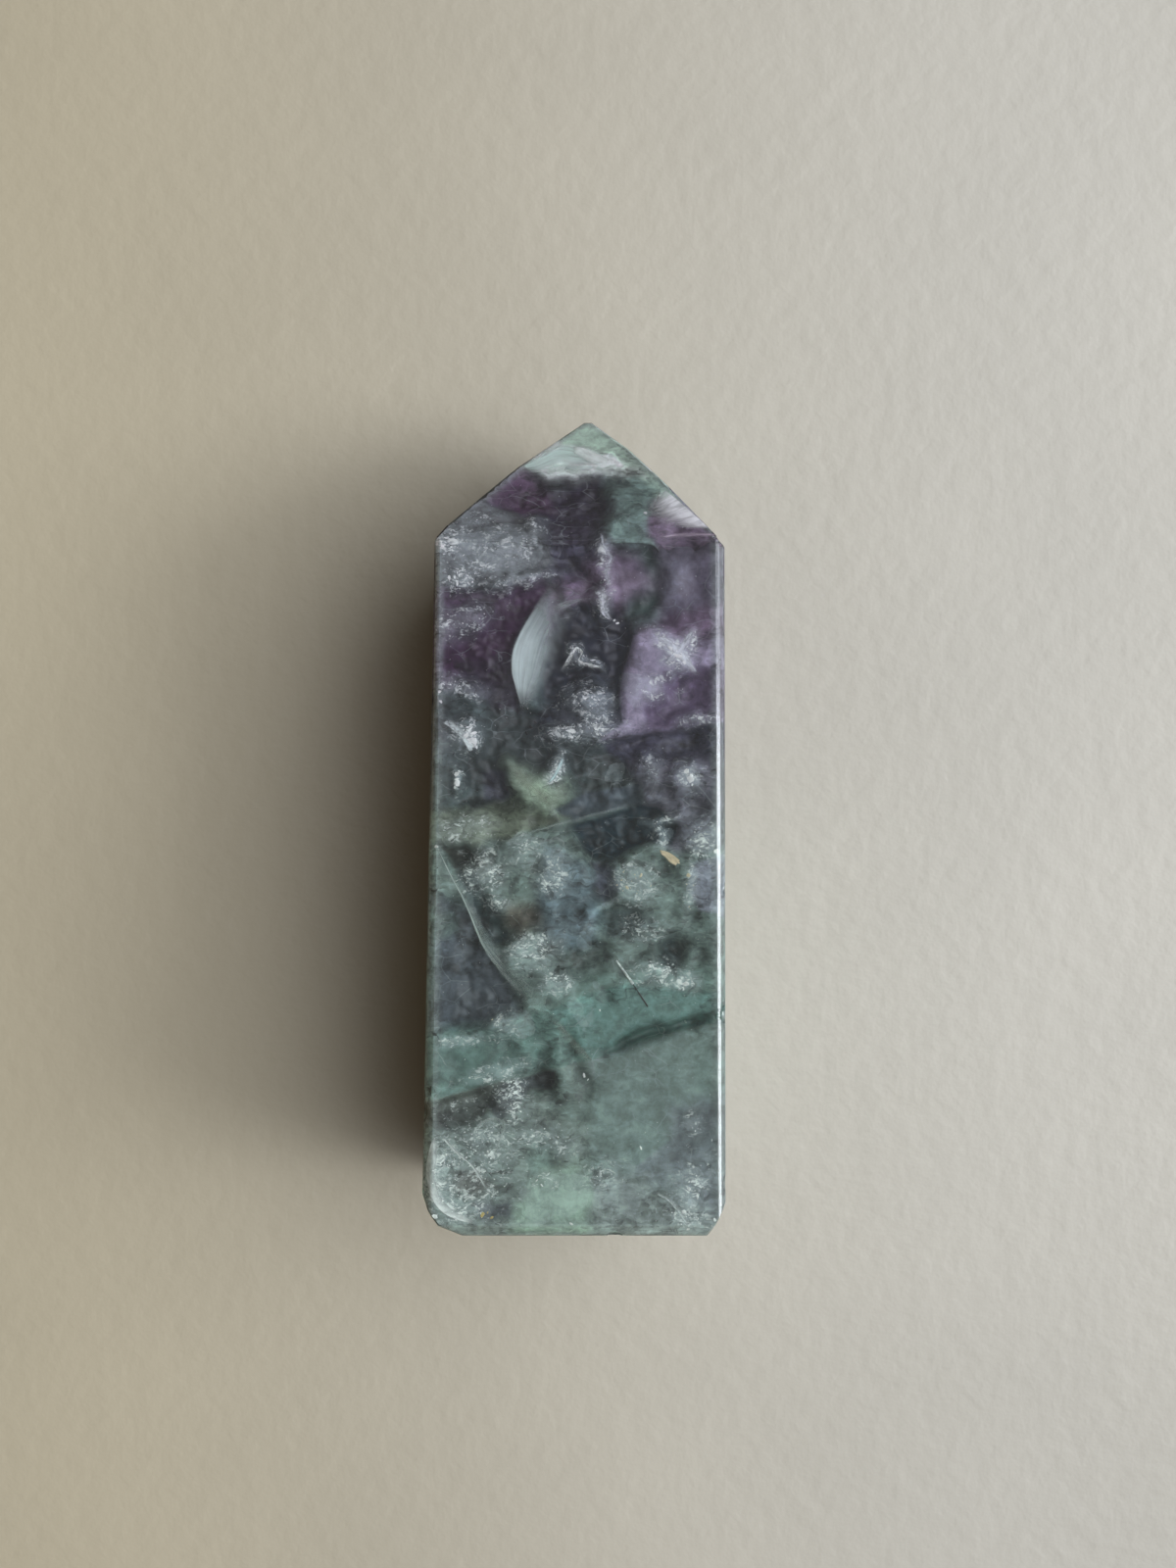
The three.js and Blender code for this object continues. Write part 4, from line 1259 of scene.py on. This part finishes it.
def placedGrains(dice):  # where each grain hangs, its size and its tint
    def frontPlace(px, py):
        low, more = grains["deep"]
        return liftOver(photoPlace(px, py, low + more * dice.random()))

    for name, x, y, across, along, turn, strength in crusts:
        count = int(grains["perSquareMm"] * strength ** 2 * math.pi * across * along / pixelsPerMm ** 2)
        tint = "cream" if "cream" in name else "white"
        for _ in range(count):
            angle, away = dice.uniform(0, 2 * math.pi), dice.random() ** grains["spread"]
            spot = Vector((across * away * math.cos(angle), along * away * math.sin(angle)))
            spot.rotate(Matrix.Rotation(math.radians(-turn), 2))
            place = frontPlace(x + spot.x, y + spot.y)
            yield place, dice.uniform(*grains["size"]) * dice.uniform(*grains["shrink"]), tint
    for _ in range(grains["stray"]):
        place = frontPlace(dice.uniform(*grains["strayAcross"]), dice.uniform(*grains["strayAlong"]))
        yield place, dice.uniform(*grains["straySize"]), "white"
    for tint, spots in singleGrains:
        for x, y, size in spots:
            place = photoPlace(x, y, grains["singleDepth"])
            yield liftOver(place, grains["singleGap"]), size, tint
    for _, (_, at) in zip(range(grains["elsewhere"]), strewn(grains["seed"])):
        if depthUnder(at) > -elsewhere["outside"]:
            _, out = min(((p - at).dot(o), o) for p, o in facePlanes)
            place = at - out * dice.uniform(*grains["elsewhereDepth"])
            size = dice.uniform(*grains["size"])
            if depthUnder(place) > grains["elsewhereLeast"]:
                yield place, size, "white"


def makeGrains():  # thin angular flakes that hang in the clear part, above the zones
    dice = random.Random(grains["seed"])
    placed = [row for row in placedGrains(dice) if depthUnder(row[0]) > grains["shallowest"]]
    bm = bmesh.new()
    bm.loops.layers.float_color.new("grainTint")
    whole = bpy.data.meshes.new("bright_grains")
    for start in range(0, len(placed), grains["batch"]):  # a few at a time, as that is faster
        part = bmesh.new()
        tints = part.loops.layers.float_color.new("grainTint")
        for place, size, tint in placed[start:start + grains["batch"]]:
            lean = grains["lean"]
            turn = Euler((dice.uniform(-lean, lean), dice.uniform(-lean, lean),
                          dice.uniform(0, 2 * math.pi))).to_matrix().to_4x4()
            squash = Matrix.Diagonal((1, dice.uniform(*grains["squash"]), 1, 1))
            verts = bmesh.ops.create_cone(
                part, cap_ends=True, segments=dice.choice(grains["sides"]), radius1=size,
                radius2=size * grains["taper"], depth=grains["thick"],
                matrix=Matrix.Translation(place) @ turn @ squash)["verts"]
            for v in verts:
                v.co += (v.co - place) * dice.uniform(-grains["jag"], grains["jag"])
            tintFaces(verts, tints, grains["tint"][tint])
        part.to_mesh(whole)
        part.free()
        bm.from_mesh(whole)
    bpy.data.meshes.remove(whole)
    keepInside(bm, grains["least"])
    material = tintedMaterial("brightGrains", grains)
    return inStone(newObject("bright_grains", toMesh(bm, "bright_grains", False), material))


needle = {"deep": 0.4, "gap": 0.12, "sides": 7, "mottle": 3.0, "shades": (0.35, 0.65, 0.5, 1.1)}

# The rod's two parts: from which pixel to which, how thick at either end, and the colour.
needleParts = [
    ((629, 980), (646, 1004), 0.15, 0.09, (236, 244, 242)),
    ((646, 1004), (661, 1027), 0.09, 0.0375, (40, 33, 26)),
]


def makeNeedle():  # a fine rod that is white at one end and brown at the other
    bm = bmesh.new()
    tints = bm.loops.layers.float_color.new("grainTint")
    for start, end, thick, thin, tint in needleParts:
        a, b = (liftOver(photoPlace(*at, needle["deep"]), needle["gap"]) for at in (start, end))
        turn = Vector((0, 0, 1)).rotation_difference(a - b).to_matrix().to_4x4()
        verts = bmesh.ops.create_cone(
            bm, cap_ends=True, segments=needle["sides"], radius1=thick, radius2=thin,
            depth=(a - b).length, matrix=Matrix.Translation((a + b) / 2) @ turn)["verts"]
        tintFaces(verts, tints, tint)
    material = tintedMaterial("needle", needle)
    return inStone(newObject("white_needle", toMesh(bm, "white_needle", False), material))


# Pale strips just under the edges: partly bruised, worn edges and partly a painted highlight along
# them.
edgeWearAndHighlight = {"width": 0.15, "segments": 1, "sharpest": 12, "shortest": 1.5, "inset": 0.03,
             "least": 0.015, "colour": (184, 196, 194), "roughness": 0.4,
             "wearAndHighlight": (0.5, 5.0, 0.7), "cover": (0.26, 0.52, 0.0, 0.92)}


def makeEdgeWearAndHighlight():  # fine bruises that whiten the stone's edges here and there, and a painted highlight along them
    bm, kept = bevelledTower(edgeWearAndHighlight)
    kept = set(kept)
    bmesh.ops.delete(bm, geom=[f for f in bm.faces if f not in kept], context="FACES")
    bm.normal_update()
    sinkIn(bm, [edgeWearAndHighlight["inset"]] * len(bm.verts))
    keepInside(bm, edgeWearAndHighlight["least"])
    material, tree, shader = newMaterial("edgeWearAndHighlight", {
        "Base Color": srgb(*edgeWearAndHighlight["colour"]), "Roughness": edgeWearAndHighlight["roughness"]})
    wearAndHighlight = clouds(tree, stonePlace(tree), *edgeWearAndHighlight["wearAndHighlight"])
    tree.links.new(eased(tree, wearAndHighlight, *edgeWearAndHighlight["cover"]), shader.inputs["Alpha"])
    return inStone(newObject("edge_wear_and_highlight", toMesh(bm, "edge_wear_and_highlight"), material))


placeCamera()
lightRoom()
layFloor()
print("camera, room and floor are set")
makeStone()
print("polished stone made")
zonesTree = makeZonesBody()
print("cloudy zones made")
for name, look in feathers.items():
    makeFeather(name, {**plainSheet, **look})
makeSideVeils()
print("feathers and veils made")
makeGrains()
makeNeedle()
makeEdgeWearAndHighlight()
# the pale edge strips are partly wear and partly a painted highlight
print("grains, needle and worn edges made")
